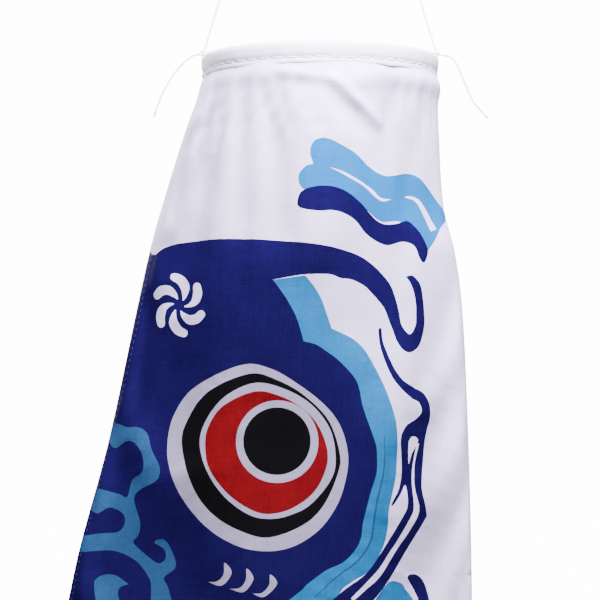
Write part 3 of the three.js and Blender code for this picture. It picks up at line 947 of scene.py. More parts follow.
EYE_WHITE = [
    (-59, 149.8), (-56.7, 138.6), (-49, 128.3), (-30.3, 119.9), (-19, 121.4), (-8.8, 127.2), (1.5, 135.2),
    (7.7, 143.6), (10.5, 154.7), (9.2, 165.1), (5.7, 174.3), (-1.1, 183.1), (-11.1, 189.2), (-21.4, 190.7),
    (-31.8, 188.6), (-42.9, 181.9), (-52.3, 171.2), (-57.5, 159.9),
]
EYE_BLACK = [
    (-53.2, 149.8), (-50.9, 139.8), (-42.9, 129.8), (-27.2, 123.3), (-16.5, 125.8), (-6.1, 131.8),
    (3.1, 141.3), (7.3, 153.8), (6.5, 161.4), (1.5, 172.7), (-6.1, 180.4), (-19, 185.4), (-29.1, 183.5),
    (-40.6, 176.9), (-48.6, 166.2),
]
EYE_RIM = [
    (-46.2, 149.8), (-43.7, 140.6), (-36.4, 131.8), (-25.1, 126.8), (-13.8, 129.1), (-3.4, 135.2),
    (3.6, 144.4), (5.7, 154.7), (4.2, 163.2), (-3.4, 172.7), (-11.1, 176.9), (-19, 178.5), (-27.2, 176.9),
    (-36.4, 170.1), (-42.9, 160.9),
]
EYE_RED = [
    (-44, 149.8), (-42.5, 142.5), (-36.8, 135.2), (-25.1, 130.1), (-15.7, 131.8), (-7.3, 136.3),
    (-1.1, 142.9), (2.5, 152.1), (1.9, 159.9), (-2.7, 168.5), (-11.1, 174.6), (-19.9, 176.6),
    (-27.2, 174.6), (-36, 168.1), (-42.5, 158.9),
]
IRIS = (-16.5, 149.2, 15.7)
PUPIL = (-16.6, 149, 12.8)
PINWHEEL = (-54.6, 96.5)
CRESCENTS = [
    [(-36.5, 194.9), (-33.7, 198.8), (-37.5, 203.6), (-42.9, 202.2, 1), (-39.1, 201.8), (-36.8, 199.2)],
    [(-28, 197.2), (-25.4, 201.1), (-29.1, 206.1), (-34.5, 204.9, 1), (-30.6, 204.5), (-28.3, 201.5)],
    [(-19.1, 199.5), (-16.5, 203), (-21.4, 208), (-25.7, 206.8, 1), (-22.2, 206.4), (-19.5, 203.4)],
]
WAVE_UPPER = [
    (-80.4, 148.6), (-79.8, 142.7), (-77, 142.1), (-74.3, 143.2), (-70.3, 143.2), (-66.8, 145.3),
    (-64.7, 152.1), (-61.7, 158.2), (-62.2, 162.8), (-65.5, 165.1), (-69.3, 167), (-71.6, 170.4),
    (-69.3, 179.6), (-70.3, 184.6), (-72, 187.1), (-65.5, 193), (-62, 194.9), (-59.5, 193), (-60.1, 189.6),
    (-64, 186.9), (-61.5, 185.8), (-58.6, 187.3), (-55.4, 195.9), (-60.1, 200.3), (-58.6, 203.8),
    (-56.7, 211.8), (-58.2, 221, 1), (-65.5, 215.2, 1), (-65.1, 203.8), (-66.3, 199.9), (-70.3, 194.6),
    (-76.2, 191.1), (-82.3, 190), (-96, 191.5, 1), (-96, 185.8, 1), (-83.5, 183.5), (-78.1, 183.1),
    (-75.6, 180.8), (-75.1, 177.7), (-76.6, 175.4), (-81, 173.7), (-85.4, 176.2), (-88.5, 172),
    (-86, 167), (-83.5, 167), (-77, 168.7), (-74.3, 169.7), (-72.4, 163.2), (-68.9, 160.9), (-67.8, 157.4),
    (-68.9, 152.4), (-71.6, 149), (-74.7, 148.6), (-78.5, 151.3),
]
WAVE_SPIRAL = [
    (-86.4, 204.1), (-85.4, 200.7), (-82.3, 199.2), (-78.5, 199.5), (-73.7, 202.8, 1), (-76.6, 203.8),
    (-77.7, 206.1), (-76.2, 210.7), (-71.2, 214.1), (-65.1, 211, 1), (-67, 217.9), (-75.1, 221.8),
    (-83.5, 217.2),
]
PRINT_STEP = 1.2


def cloth_place(x, drop):
    """Where a point of the cloth lies: (turn from the belly fold, drop)."""
    back, belly, _, _ = section(drop)
    cosine = (x - (belly + back) / 2) / ((belly - back) / 2)
    return math.acos(min(max(cosine, -1), 1)), drop


def from_seen(x, y):
    """A point of the near side from where the viewer sees it."""
    bow = 0.0
    for _ in range(6):
        nearer = 1 - bow / CAMERA_DISTANCE
        across = PICTURE_CENTRE[0] + (x - PICTURE_CENTRE[0]) * nearer
        down = PICTURE_CENTRE[1] + (y - PICTURE_CENTRE[1]) * nearer
        drop = (down + bow * math.sin(VIEW_TILT)) / math.cos(VIEW_TILT)
        turn, _ = cloth_place(across, drop)
        bow = section(drop)[2] * math.sin(turn) ** section(drop)[3]
    return turn, drop


PETALS = 6
PETAL_SQUEEZE = 0.84  # the pinwheel is a little narrower than tall
PETAL_LINE = ((2.4, 0.75), (4.6, 0.56), (7.4, 0.36), (9.6, 0.08), (10.9, -0.17))  # reach and angle
PETAL_WIDTHS = [0.4, 2.2, 3.6, 3.7, 3.2]


def pinwheel_prints():
    petals = []
    for k in range(PETALS):
        line = []
        for reach, swing in PETAL_LINE:
            angle = 2 * math.pi * k / PETALS + swing
            across = PINWHEEL[0] + PETAL_SQUEEZE * reach * math.sin(angle)
            line.append((across, PINWHEEL[1] - reach * math.cos(angle)))
        petals.append(("white", stroke(line, PETAL_WIDTHS, 0.8)))
    return petals


def filled(*shapes):
    return [(ink, rounded_line(points, PRINT_STEP)) for ink, points in shapes]


def face_prints():
    """(ink, outline) of the head, in painting order."""
    prints = [
        *filled(("white", FACE_GROUND), ("navy", HEAD_EDGE)),
        ("white", stroke(HEAD_REAR, [5, 8.5, 9, 8.5, 6], 1.5)),
        ("sky", stroke(HEAD_REAR, [5, 6, 5.5, 5, 3], 1.5)),
        *filled(
            ("pale", FLOURISH_UPPER), ("navy", FLOURISH_LOWER), ("white", SLIT_A), ("white", SLIT_B),
            ("sky", GILL_BAND), ("navy", LIP), ("white", LIP_LOOP), ("white", LIP_CHANNEL),
            ("sky", CHIN_BLOB), ("navy", CHIN_COMMA), ("teal", WAVE_UPPER), ("teal", WAVE_SPIRAL),
            ("rim", EYE_WHITE), ("black", EYE_BLACK), ("rim", EYE_RIM), ("red", EYE_RED),
        ),
        ("teal", stroke(GILL_VEIN, [0.3, 0.7, 0.7, 0.3], 2)),
        ("rim", circle(*IRIS)),
        ("black", circle(*PUPIL)),
        *[("rim", rounded_line(points, 0.8)) for points in CRESCENTS],
        *pinwheel_prints(),
    ]
    return [(ink, [from_seen(*spot) for spot in line]) for ink, line in prints]


SCALE_START = 236
SCALE_END = 600
SCALE_ROW = 26
SCALE_COLUMNS = 5
SCALED_SHARE = 0.76  # of the width, from the back
SCALE_RINGS = (("white", 1.0, 0), ("navy", 0.88, -0.6), ("teal", 0.6, -3.2), ("sky", 0.34, -5.5))
SIDE_REACH = 200  # further out than any edge of the cloth


def scale_outline(x, drop, wide, tall):
    """One fish scale: a square shoulder and a round end towards the tail."""
    half = wide / 2
    shape = [
        (x - half, drop - tall * 0.35, 1), (x + half, drop - tall * 0.35, 1), (x + half, drop + tall * 0.2),
        (x + half * 0.72, drop + tall * 0.52), (x, drop + tall * 0.68), (x - half * 0.72, drop + tall * 0.52),
        (x - half, drop + tall * 0.2),
    ]
    return rounded_line(shape, 2.4)


def scale_prints():
    """Rows of scales, painted from the tail to the head so that each row covers the next."""
    prints = []
    for row in range(int((SCALE_END - SCALE_START) / SCALE_ROW), -1, -1):
        drop = SCALE_START + row * SCALE_ROW
        back, belly, _, _ = section(drop)
        wide = (belly - back) * SCALED_SHARE / SCALE_COLUMNS
        for column in range(SCALE_COLUMNS + 1):
            x = back + wide * (column + (0.5 if row % 2 else 0))
            for ink, share, lift in SCALE_RINGS:
                prints.append((ink, scale_outline(x, drop + lift, wide * share, SCALE_ROW * 1.25 * share)))
    return prints


def belly_border():
    """The wavy line where the scales end and the plain belly starts."""
    border = [(-26, 221), (-14, 229), (2, 238), (18, 252)]
    for drop in range(270, SCALE_END + SCALE_ROW // 2, SCALE_ROW // 2):
        back, belly, _, _ = section(drop)
        wave = 1.6 if drop % 2 else -1.6
        border.append((back + (belly - back) * (SCALED_SHARE + 0.01) + wave, drop))
    return border + [(border[-1][0] + 1, SCALE_END + 16)]


def body_prints():
    """The scales on their navy ground, and the white belly over their ends."""
    ground = [(-SIDE_REACH, 215, 1), (SIDE_REACH, 215, 1)]
    ground += [(SIDE_REACH, SCALE_END, 1), (-SIDE_REACH, SCALE_END, 1)]
    border = belly_border()
    belly = border + [(SIDE_REACH, SCALE_END + 16, 1), (SIDE_REACH, 200, 1), (-26, 200, 1)]
    prints = [
        ("navy", rounded_line(ground, 6)),
        *scale_prints(),
        ("white", rounded_line(belly, 3)),
        ("navy", stroke(border, [1, 2.2, 2.2, 2.2, 2.2, 1.6], 3)),
    ]
    return [(ink, [cloth_place(*spot) for spot in line]) for ink, line in prints]


TAIL_RAYS = 13
RAY_FAN = 0.06
RAY_HALF = 0.02  # half a ray's width at its middle, as a share of the tail's


def on_tail(outline):
    """Places on the cloth along an outline of (share of the width from the back, drop)."""
    line = []
    for i, (share_a, drop_a) in enumerate(outline):
        share_b, drop_b = outline[(i + 1) % len(outline)]
        for k in range(8):
            share, drop = share_a + (share_b - share_a) * k / 8, drop_a + (drop_b - drop_a) * k / 8
            back, belly, _, _ = section(min(drop, BODY_LENGTH))
            line.append(cloth_place(back + (belly - back) * share, drop))
    return line


def tail_prints():
    """Rays fanning into the two tips of the tail, on a navy ground with an arched top."""
    low, high = SCALE_END, BODY_LENGTH
    ground = [(0.02, low + 6), (0.25, low - 4), (0.5, low - 9), (0.75, low - 4), (0.98, low + 6)]
    ground += [(1.1, low + 4), (1.1, high + 20), (-0.1, high + 20), (-0.1, low + 4)]
    prints = [("navy", on_tail(ground))]
    for k in range(TAIL_RAYS):
        share = (k + 0.5) / TAIL_RAYS
        start, end = low + 4 + 10 * abs(2 * share - 1), high - 9
        fanned, middle = share + (share - 0.5) * RAY_FAN, (start + end) / 2
        ray = [(share - 0.004, start), (fanned + RAY_HALF, middle)]
        ray += [(fanned, end), (fanned - RAY_HALF, middle)]
        prints.append(("sky" if k % 2 else "white", on_tail(ray)))
    return prints


# ---------------------------------------------------------------- cutting cloth along its print
def inside(outline, spots):
    """Which spots are inside a closed outline."""
    x, y = spots[:, 0], spots[:, 1]
    hit = np.zeros(len(spots), bool)
    for i in range(len(outline)):
        (x0, y0), (x1, y1) = outline[i - 1], outline[i]
        if y0 != y1:
            crosses = (y0 > y) != (y1 > y)
            hit ^= crosses & (x < (x1 - x0) * (y - y0) / (y1 - y0) + x0)
    return hit


def cut_cloth(grid, prints, border=None, lines=()):
    """Flat points, triangles and the ink of each, with every outline followed by edges."""
    spots = [Vector(p) for p in grid]
    edges = []
    rings = [line for _, line in prints] + ([border] if border else [])
    for ring in rings:
        start = len(spots)
        spots += [Vector(p) for p in ring]
        edges += [(start + k, start + (k + 1) % len(ring)) for k in range(len(ring))]
    for line in lines:
        start = len(spots)
        spots += [Vector(p) for p in line]
        edges += [(start + k, start + k + 1) for k in range(len(line) - 1)]
    points, _, triangles, *_ = geometry.delaunay_2d_cdt(spots, edges, [], 0, 1e-4)
    flat = np.array([tuple(p) for p in points])
    triangles = np.array([tuple(t) for t in triangles])
    centres = flat[triangles].mean(axis=1)
    inks = np.zeros(len(triangles), int)
    for ink, line in prints:
        low, high = np.array(line).min(axis=0), np.array(line).max(axis=0)
        near = np.all((centres >= low) & (centres <= high), axis=1).nonzero()[0]
        inks[near[inside([tuple(p) for p in line], centres[near])]] = INK_ORDER.index(ink)
    if border:
        kept = inside([tuple(p) for p in border], centres)
        triangles, inks = triangles[kept], inks[kept]
    a, b, c = (flat[triangles[:, k]] for k in range(3))
    area = (b[:, 0] - a[:, 0]) * (c[:, 1] - a[:, 1]) - (b[:, 1] - a[:, 1]) * (c[:, 0] - a[:, 0])
    kept = np.abs(area) > 1e-5
    triangles, inks, area = triangles[kept], inks[kept], area[kept]
    triangles[area < 0] = triangles[area < 0][:, ::-1]
    return flat, triangles, inks


def lay_flat(piece, places):
    """Writes where each point lies on the flat cloth into the piece's cloth map."""
    layer = piece.data.uv_layers.new(name="cloth")
    corners = np.empty(len(piece.data.loops), int)
    piece.data.loops.foreach_get("vertex_index", corners)
    layer.data.foreach_set("uv", np.array(places)[corners].ravel())


def open_edges(triangles):
    """Edges that only one triangle has, with that triangle's index."""
    ends = {}
    for index, (a, b, c) in enumerate(triangles):
        for edge in ((a, b), (b, c), (c, a)):
            if edge[::-1] in ends:
                del ends[edge[::-1]]
            else:
                ends[edge] = index
    return ends


def cloth_piece(name, points, normals, triangles, inks, flat, thickness=CLOTH_THICKNESS, shading=None):
    """A thin double layer: the outside as given, the inside behind it, and a rim around."""
    used = np.unique(triangles)
    order = {int(old): new for new, old in enumerate(used)}
    triangles = [tuple(order[int(i)] for i in t) for t in triangles]
    count = len(used)
    outer = [points[i] for i in used]
    inner = [points[i] - normals[i] * thickness for i in used]
    faces = triangles + [(c + count, b + count, a + count) for a, b, c in triangles]
    materials = [*inks, *inks]
    for (a, b), index in open_edges(triangles).items():
        faces.append((b, a, a + count, b + count))
        materials.append(inks[index])
    piece = new_piece(name, outer + inner, faces, INKS.values(), [int(m) for m in materials])
    lay_flat(piece, [flat[i] for i in used] * 2)
    if shading is not None:
        outward = [tuple(shading[i]) for i in used]
        piece.data.normals_split_custom_set_from_vertices(outward + [tuple(-x for x in n) for n in outward])
    return piece


def face_vectors(points, triangles):
    """Each triangle's normal, as long as twice its area."""
    where = np.array([tuple(p) for p in points])
    a, b, c = (where[triangles[:, k]] for k in range(3))
    return np.cross(b - a, c - a)


def area_of(points, triangles):
    return np.linalg.norm(face_vectors(points, triangles), axis=1).sum() / 2


CUT_A = 335
CUT_B = 515
BODY_TOP = 8
# The mesh is finest where the hem gathers the cloth, fine over the face and coarser behind it.
TOP_STEP, TOP_END = 1.5, 42
FRONT_STEP, FRONT_END = 2.7, 240
REAR_STEP = 4.5
HALF_WIDTH = math.pi * TURN_SCALE  # of the flat cloth, from the belly fold to the back seam
CUT_PIECES = 40


def to_drop(turn, flat_drop):
    """The rear of the flat cloth is drawn straight; the tail's notch pulls it up."""
    if flat_drop <= CUT_B:
        return flat_drop
    return CUT_B + (flat_drop - CUT_B) * (tail_edge(turn) - CUT_B) / (BODY_LENGTH - CUT_B)


def flat_spot(turn, drop):
    flat_drop = drop
    if drop > CUT_B:
        flat_drop = CUT_B + (drop - CUT_B) * (BODY_LENGTH - CUT_B) / (tail_edge(turn) - CUT_B)
    return turn * TURN_SCALE, min(max(flat_drop, BODY_TOP), BODY_LENGTH)


def body_grid():
    grid = []
    drop = BODY_TOP
    row = 0
    while drop < BODY_LENGTH + 0.01:
        step = TOP_STEP if drop < TOP_END else FRONT_STEP if drop < FRONT_END else REAR_STEP
        columns = round(HALF_WIDTH / step)
        ends = drop in (BODY_TOP, BODY_LENGTH)
        for k in range(columns + 1):
            nudge = 0 if ends or k in (0, columns) else (0.25 if row % 2 else -0.25) * step
            grid.append((HALF_WIDTH * k / columns + nudge, drop))
        row += 1
        drop = BODY_LENGTH if 0 < BODY_LENGTH - drop < step * 1.5 else drop + step
    return grid


def both_faces(flat, triangles):
    """The far face and its mirror image, joined at the folds: points, triangles and outward normals."""
    count = len(flat)
    turns = flat[:, 0] / TURN_SCALE
    drops = [to_drop(turn, drop) for turn, drop in zip(turns, flat[:, 1])]
    points = [wall(turn, drop) for turn, drop in zip(turns, drops)]
    points += [wall(2 * math.pi - turn, drop) for turn, drop in zip(turns, drops)]
    on_fold = (turns < 1e-5) | (turns > math.pi - 1e-5)
    partner = np.where(on_fold, np.arange(count), np.arange(count) + count)
    triangles = np.vstack([triangles, partner[triangles][:, ::-1]])
    vectors = face_vectors(points, triangles)
    outward = np.zeros((len(points), 3))
    for k in range(3):
        np.add.at(outward, triangles[:, k], vectors)
    known = np.array([wall_normal(turn, drop) for turn, drop in zip(turns, drops)])
    if np.sum(outward[:count] * known) < 0:
        triangles = triangles[:, ::-1]
        outward = -outward
    outward /= np.maximum(np.linalg.norm(outward, axis=1, keepdims=True), 1e-9)
    return points, triangles, [Vector(n) for n in outward]


def make_body():
    prints = body_prints() + face_prints() + tail_prints()
    prints = [(ink, [flat_spot(*spot) for spot in line]) for ink, line in prints]
    cuts = [[(HALF_WIDTH * k / CUT_PIECES, cut) for k in range(CUT_PIECES + 1)] for cut in (CUT_A, CUT_B)]
    flat, triangles, inks = cut_cloth(body_grid(), prints, lines=cuts)
    points, all_triangles, normals = both_faces(flat, triangles)
    flat_all = [(x, y) for x, y in flat] + [(-x, y) for x, y in flat]
    all_inks = np.tile(inks, 2)
    middles = np.tile(flat[triangles].mean(axis=1)[:, 1], 2)
    spans = (
        ("body_front", 0, CUT_A, "mouth", "middle", FOLD_FRONT, ["head_cloth"]),
        ("body_middle", CUT_A, CUT_B, "middle", "rear", FOLD_REAR, ["middle_cloth"]),
        ("body_rear", CUT_B, BODY_LENGTH, "rear", "tail", FOLD_TAIL, ["rear_cloth", "tail_cloth"]),
    )
    for name, top, end, upper, lower, fold, nodes in spans:
        chosen = (middles > top) & (middles < end)
        own = all_triangles[chosen]
        piece = cloth_piece(name, points, normals, own, all_inks[chosen], flat_all, shading=normals)
        length = end - max(top, BODY_TOP)
        widest = max(half_girth(top + (end - top) * k / 8) for k in range(9)) * 2
        min(area_of(points, own), widest * length) * MM * MM
        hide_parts(*nodes)
        bend(piece, upper, lower, fold)


def half_girth(drop):
    """Cloth from the belly fold to the back seam at one height."""
    spots = [bare_wall(math.pi * k / 24, max(drop, BODY_TOP)) for k in range(25)]
    return route_length(spots)


def bend(piece, upper, lower, fold):
    """Bakes the piece's placement into its points."""
    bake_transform(piece)


make_body()


# ---------------------------------------------------------------- stitches
def stitch(a, b, out, radius):
    """One stitch: it dips into the cloth at both ends."""
    middle = (a + b) / 2 + out * 0.12
    rise, dip = out * 0.06, out * 0.1
    route = [a - dip, a.lerp(middle, 0.35) + rise, middle, b.lerp(middle, 0.35) + rise, b - dip]
    return swept(route, [radius * 0.7, radius, radius, radius, radius * 0.7], 6)


SEAM_INSET = 1.1
SEAM_PITCH = 2.4
SEAM_STITCH = 0.4 * SEAM_PITCH
FIN_MARGIN = 0.006  # share of the length above and below the back fin that has no stitches
PRINT_TOP = 79  # the print runs over the seam's thread below this drop


def seam_turn(drop):
    back, belly, _, _ = section(drop)
    return math.acos(-1 + SEAM_INSET / ((belly - back) / 2))


def make_back_seam():
    """Small stitches just inside the back edge, on both faces."""
    spans = (
        ("back_seam_front", 12, CUT_A, "mouth", "middle", FOLD_FRONT),
        ("back_seam_middle", CUT_A, CUT_B, "middle", "rear", FOLD_REAR),
        ("back_seam_rear", CUT_B, BODY_LENGTH - 6, "rear", "tail", FOLD_TAIL),
    )
    for name, top, end, upper, lower, fold in spans:
        parts, on_print = [], []
        drop = top + 0.6
        while drop < end - SEAM_PITCH:
            under_fin = DORSAL["top"] - FIN_MARGIN < drop / BODY_LENGTH < DORSAL["end"] + FIN_MARGIN
            for side in () if under_fin else (1, -1):
                turns = [seam_turn(drop + k) * side % (2 * math.pi) for k in (0, SEAM_STITCH)]
                spots = [wall(turn, drop + k, 0.05) for turn, k in zip(turns, (0, SEAM_STITCH))]
                parts.append(stitch(*spots, wall_normal(turns[0], drop), 0.08))
                on_print += [int(drop > PRINT_TOP)] * len(parts[-1][1])
            drop += SEAM_PITCH
        piece = new_piece(name, *joined(parts), [SEWING_WHITE, SEWING_BLUE], on_print)
        bend(piece, upper, lower, fold)


make_back_seam()


TAIL_STITCH = 0.036  # radians of turn
TAIL_PITCH = 0.055


def make_tail_hem():
    """Two rows of stitches along the notched edge, free of the folds."""
    parts = []
    for inset in (2.5, 5.0):
        angle = 0.02
        while angle < 2 * math.pi - 0.03:
            if abs(math.sin(angle)) > 0.03:
                turns = (angle, angle + TAIL_STITCH)
                spots = [wall(turn, to_drop(turn, BODY_LENGTH - inset), 0.08) for turn in turns]
                parts.append(stitch(*spots, wall_normal(angle, BODY_LENGTH - inset), 0.14))
            angle += TAIL_PITCH
    settle(new_piece("tail_hem_stitches", *joined(parts), [SEWING_WHITE]), "cord", "tail")


make_tail_hem()

# ---------------------------------------------------------------- hem of the mouth
HOOP_R = 42.9
HEM_SEAM_ANGLE = math.radians(196)  # the hem's own join, near the back on the near side
HEM_STEPS = 420
HEM_HALF = 0.13  # half the strip's thickness
STITCH_PITCH = 5.7
STITCH_LENGTH = 4.4
STITCH_RADII = [0.14, 0.2, 0.21, 0.2, 0.14]
# (radius, drop) of the folded strip, from the outer foot over the hoop to the inner foot.
HEM_LINE = [
    Vector(place)
    for place in (
        (44.74, 9.7), (44.86, 9.3), (44.93, 8.7), (44.88, 8.1), (44.74, 7.72), (44.6, 7.4), (44.8, 7.05),
        (45.02, 6.4), (45.12, 5.4), (45.14, 4.4), (45.1, 3.4), (44.95, 2.4), (44.5, 1.65), (43.8, 1.25),
        (42.9, 1.1), (42.0, 1.35), (41.35, 1.95), (41.05, 2.8), (41.1, 3.8), (41.5, 4.9), (42.4, 6.0),
        (43.4, 6.9), (43.95, 7.4), (43.95, 7.9), (43.85, 8.6), (43.85, 9.4),
    )
]


def hem_pucker(angle, down):
    """Outward wrinkles of the hem: stronger near the foot, strongest near the two ties."""
    tied = 1 + 1.4 * math.exp(-((abs(math.sin(angle)) / 0.25) ** 2))
    held = 0.35 if abs(down - HEM_STITCH_DROP) < 0.9 else 1.0
    wrinkle = 0.16 * ring_noise(angle, 9, down * 0.09) + 0.22 * ring_noise(angle, 3, 7 + down * 0.05)
    return wrinkle * tied * held


def hem_join(angle):
    """The overlap where the hem's strip ends."""
    arc = (angle - HEM_SEAM_ANGLE + math.pi) % (2 * math.pi) - math.pi
    distance = arc * MOUTH_R
    return 0.32 * smoothstep(distance, -0.5, 0) * (1 - smoothstep(distance, 4.4, 5.2))


def hem_point(radius, down, angle, outer):
    share = smoothstep(radius, HOOP_R, MOUTH_R)
    reach = radius + (hem_pucker(angle, down) + hem_join(angle)) * (share if outer else 0.3)
    foot = smoothstep(down, 7.5, HEM_FOOT)
    down += foot * (0.45 * ring_noise(angle, 7, 3) + 0.1)
    return Vector((reach * math.cos(angle), reach * math.sin(angle), MOUTH_Z - down))


def make_hem():
    """The strip folded over the hoop, swept once around the mouth."""
    left = [spot - line_side(HEM_LINE, i) * HEM_HALF for i, spot in enumerate(HEM_LINE)]
    right = [spot + line_side(HEM_LINE, i) * HEM_HALF for i, spot in enumerate(HEM_LINE)]
    profile = left + right[::-1]
    count = len(profile)
    outer_count = len(HEM_LINE) // 2 + 1
    is_outer = [i < outer_count or i >= count - outer_count for i in range(count)]
    travelled = [route_length(HEM_LINE[: i + 1]) for i in range(len(HEM_LINE))]
    travelled += travelled[::-1]
    points, flat = [], []
    for k in range(HEM_STEPS):
        angle = 2 * math.pi * k / HEM_STEPS
        for (radius, down), outer, along in zip(profile, is_outer, travelled):
            points.append(hem_point(radius, down, angle, outer))
            flat.append((angle * MOUTH_R, along))
    piece = new_piece("mouth_hem", points, ring_faces(HEM_STEPS, count, closed=True), [HEM_CLOTH_PAINTED_SHADE])
    lay_flat(piece, flat)
    size = (2 * math.pi * MOUTH_R * MM, route_length(HEM_LINE) * MM)
    settle(piece, "white_cloth", "mouth", "mouth_casing")


def make_hem_stitches():
    parts = []
    total = round(2 * math.pi * MOUTH_R / STITCH_PITCH)
    for k in range(total):
        start = 2 * math.pi * k / total + 0.02
        angles = [start + STITCH_LENGTH / MOUTH_R * j / 4 for j in range(5)]
        for radius, outer in ((44.98, True), (43.78, False)):
            route = [hem_point(radius, HEM_STITCH_DROP, angle, outer) for angle in angles]
            parts.append(swept(route, STITCH_RADII, 6))
    settle(new_piece("hem_stitches", *joined(parts), [SEWING_WHITE]), "cord", "mouth")


make_hem()
make_hem_stitches()

# ---------------------------------------------------------------- fins
FIN_GRID = 3.0
FIN_THICKNESS = 0.3
FIN_STITCH_PITCH = 3.2


CURVE_PIECES = 16


def bezier(a, b, c, d):
    result = []
    for k in range(CURVE_PIECES):
        t = k / CURVE_PIECES
        u = 1 - t
        weights = (u**3, 3 * u * u * t, 3 * u * t * t, t**3)
        result.append(tuple(sum(w * p[i] for w, p in zip(weights, (a, b, c, d))) for i in (0, 1)))
    return result


def side_fin_outline(fin):
    w, length, flare = fin["width"], fin["length"], fin["flare"]
    tip, corner = (0.1 * w, 0.94 * length), (w + flare, 0.8 * length)
    outline = bezier((0, 0), (-flare, 0.4 * length), (-flare, 0.75 * length), tip)
    outline += bezier(tip, (0.4 * w, 1.02 * length), (0.9 * w, length), corner)
    outline += bezier(corner, (w + flare, 0.55 * length), (w + 0.4 * flare, 0.25 * length), (w, 0))
    return outline + [(w * (1 - k / 12), 0) for k in range(12)]


def body_edge(fin, share):
    """How far from the middle the body ends on a fin's side, at a share of its length."""
    return MOUTH_R + outline_at(share, 1 if fin["side"] < 0 else 2)


def edge_fin_outline(fin):
    """Root along the back or belly, outer edge swept towards the tail."""
    side, top, end = fin["side"], fin["top"], fin["end"]
    out = side * fin["height"]

    def root_at(share):
        return side * (body_edge(fin, share) + 0.3), share * BODY_LENGTH

    low, high = root_at(top), root_at(end)
    tip = (high[0] + out, high[1] + fin["rake"])
    length = high[1] - low[1]
    swept_to = (tip[0] + out * 0.15, tip[1] - length * 0.55)
    outer = bezier(low, (low[0] + out * 0.55, low[1] + length * 0.15), swept_to, tip)
    outer += bezier(tip, (tip[0] - out * 0.2, tip[1] - 4), (high[0] + out * 0.35, high[1] + 5), high)
    return outer + [root_at(end + (top - end) * k / 16) for k in range(16)]


def fin_ray(start, end, half, step):
    """A spindle between two points; half is half its width at the middle, as (x, y)."""
    x, y = (start[0] + end[0]) / 2, (start[1] + end[1]) / 2
    shape = [(*start, 1), (x + half[0], y + half[1]), (*end, 1), (x - half[0], y - half[1])]
    return [tuple(p) for p in rounded_line(shape, step)]


def shrunk(outline, share, towards):
    to_x, to_y = towards
    return [(to_x + (x - to_x) * share, to_y + (y - to_y) * share) for x, y in outline]


def fin_grid(outline):
    xs, ys = [p[0] for p in outline], [p[1] for p in outline]
    grid = []
    for i in range(int((max(xs) - min(xs)) / FIN_GRID) + 1):
        for j in range(int((max(ys) - min(ys)) / FIN_GRID) + 1):
            grid.append((min(xs) + (i + 0.3) * FIN_GRID, min(ys) + (j + 0.3 + 0.4 * (i % 2)) * FIN_GRID))
    return [spot for spot in grid if inside(outline, np.array([spot]))[0]]


def fin_stitches(name, body, line, place, normal):
    """A row of stitches along a closed line, on both faces of a fin."""
    edge = [Vector(p) for p in line]
    parts = []
    for a, b in zip(edge, edge[1:] + edge[:1]):
        pieces = max(1, round((b - a).length / FIN_STITCH_PITCH))
        for k in range(pieces):
            start, end = (place(*a.lerp(b, (k + share) / pieces)) for share in (0.1, 0.75))
            for lift, out in ((normal * 0.05, normal), (normal * -0.35, -normal)):
                parts.append(stitch(start + lift, end + lift, out, 0.13))
    settle(new_piece(name, *joined(parts), [SEWING_WHITE]), "cord", body)


def fin_sheet(name, node, body, outline, rays, place, normal):
    """A fin cut from printed cloth, with its border, rays and stitched edge."""
    xs, ys = [p[0] for p in outline], [p[1] for p in outline]
    middle = (sum(xs) / len(xs), sum(ys) / len(ys))
    prints = [("navy", shrunk(outline, 0.93, middle)), ("sky", shrunk(outline, 0.86, middle))]
    prints += [("navy", ray) for ray in rays]
    flat, triangles, inks = cut_cloth(fin_grid(outline), prints, border=outline)
    points = [place(x, y) for x, y in flat]
    own = triangles if triangle_faces(points, triangles[0], normal) else triangles[:, ::-1]
    normals = [normal] * len(points)
    piece = cloth_piece(name, points, normals, own, inks, [tuple(p) for p in flat], FIN_THICKNESS)
    size = ((max(xs) - min(xs)) * MM, (max(ys) - min(ys)) * MM)
    area_of(points, triangles) * MM * MM
    settle(piece, "fin_cloth", body, node)
    fin_stitches(f"{name}_stitches", body, shrunk(outline, 0.965, middle), place, normal)


def triangle_faces(points, triangle, direction):
    a, b, c = (points[i] for i in triangle)
    return (b - a).cross(c - a).dot(direction) > 0


def side_fin_rays(fin):
    rays = []
    for k in range(5):
        share = (k + 0.8) / 5.6
        foot = fin["length"] * (0.82 - 0.1 * abs(share - 0.5))
        end = (fin["width"] * share + (share - 0.45) * fin["flare"] * 1.6, foot)
        rays.append(fin_ray((fin["width"] * share, 4), end, (1.5, 0), 2.4))
    return rays


def make_side_fin(word, fin, side, sign):
    """One side fin: it hangs from its sewn edge and waves more towards its free end."""
    tilt = -sign * fin["lean"]
    along = Vector((math.cos(tilt), math.sin(tilt), 0))
    normal = Vector((-math.sin(tilt), math.cos(tilt), 0)) * sign

    def place(x, y):
        root = Vector((fin["x"], sign * fin["y"], MOUTH_Z - fin["root"] - y))
        free = smoothstep(y, 0, fin["length"])
        wave = 1.7 * math.sin(x * 0.19 + y * 0.045) + 1.2 * noise.noise(Vector((x * 0.05, y * 0.05, sign)))
        return root + along * x + normal * (wave * free + 0.4 * free * y / fin["length"])

    names = (f"{word}_{side}_fin", f"{word}_fin_{side}", f"{word}_{side}")
    fin_sheet(*names, side_fin_outline(fin), side_fin_rays(fin), place, normal)


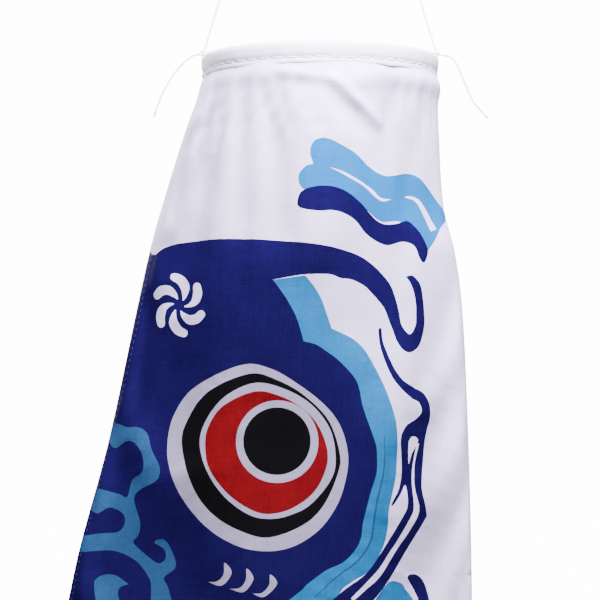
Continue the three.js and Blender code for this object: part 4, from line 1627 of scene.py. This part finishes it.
def edge_fin_rays(fin):
    rays = []
    for k in range(6):
        share = (k + 1.4) / 7.4
        at = fin["top"] + (fin["end"] - fin["top"]) * share
        base = fin["side"] * (body_edge(fin, at) + 2.2)
        reach = fin["side"] * fin["height"] * (0.25 + 0.5 * share)
        end = (base + reach, at * BODY_LENGTH + fin["rake"] * 0.75)
        rays.append(fin_ray((base, at * BODY_LENGTH), end, (0, 1), 2.0))
    return rays


def make_edge_fin(name, node, body, fin):
    """One fin in the fish's own plane, sewn to its back or its belly."""

    def place(x, y):
        share = min(max(y / BODY_LENGTH, fin["top"]), fin["end"])
        free = smoothstep(abs(x) - body_edge(fin, share), 0, fin["height"])
        wave = 1.5 * math.sin(y * 0.13) + 0.8 * noise.noise(Vector((x * 0.06, y * 0.06, 5)))
        return Vector((x, wave * free - 0.15, MOUTH_Z - y))

    fin_sheet(name, node, body, edge_fin_outline(fin), edge_fin_rays(fin), place, Vector((0, -1, 0)))


def make_fins():
    for word, fin in (("pectoral", PECTORAL), ("pelvic", PELVIC)):
        make_side_fin(word, fin, "near", -1)
        make_side_fin(word, fin, "far", 1)
    make_edge_fin("back_fin", "dorsal_fin", "dorsal", DORSAL)
    make_edge_fin("vent_fin", "anal_fin", "anal", ANAL)


make_fins()


# ---------------------------------------------------------------- studio
def area_light(name, place, aim, size, power, colour):
    data = bpy.data.lights.new(name, "AREA")
    data.shape = "DISK"
    data.size = size
    data.energy = power
    data.color = colour
    lamp = linked(name, data)
    lamp.location = place
    lamp.rotation_euler = (Vector(aim) - Vector(place)).to_track_quat("-Z", "Y").to_euler()


AMBIENT = 0.4
KEY_POWER = 8.1
BACKDROP = 14
BACKDROP_DISTANCE = 12
BACKDROP_SIZE = 3.4
FLOOR_WIDTH = 60
FLOOR_HEIGHT = (MOUTH_Z - BODY_LENGTH - 60) * MM


def make_backdrop():
    """A lit sheet of white paper far behind the streamer, standing on the floor."""
    material, _, bsdf = principled("backdrop_light")
    bsdf.inputs["Emission Color"].default_value = (1, 1, 1, 1)
    bsdf.inputs["Emission Strength"].default_value = BACKDROP
    behind = (0, BACKDROP_DISTANCE, FLOOR_HEIGHT + BACKDROP_SIZE / 2)
    bpy.ops.mesh.primitive_plane_add(size=BACKDROP_SIZE, location=behind, rotation=(math.pi / 2, 0, 0))
    backdrop = bpy.context.object
    backdrop.name = "backdrop"
    backdrop.data.materials.append(material)


def make_studio():
    world = bpy.data.worlds.new("studio")
    world.use_nodes = True
    background = world.node_tree.nodes["Background"]
    background.inputs["Color"].default_value = (0.94, 0.92, 1.15, 1)
    background.inputs["Strength"].default_value = AMBIENT
    bpy.context.scene.world = world
    area_light("key", (0.035, -0.145, 0.12), (0, 0, -0.08), 0.2, KEY_POWER, (1, 0.93, 1.17))
    area_light("back_fill", (-0.9, 1.3, 0.1), (0, 0, -0.35), 0.9, 45, (1, 0.98, 1))
    area_light("low_fill", (-0.5, -1.5, -0.8), (0, 0, -0.6), 0.8, 6, (1, 0.98, 1))
    make_backdrop()
    bpy.ops.mesh.primitive_plane_add(size=FLOOR_WIDTH, location=(0, 0, FLOOR_HEIGHT))
    floor = bpy.context.object
    floor.name = "floor"
    tones = ((0.84, 0.84, 0.84), (0.88, 0.88, 0.88))
    floor.data.materials.append(grained("floor_paper", *tones, (300, 3), (0.7, 0.85)))


make_studio()
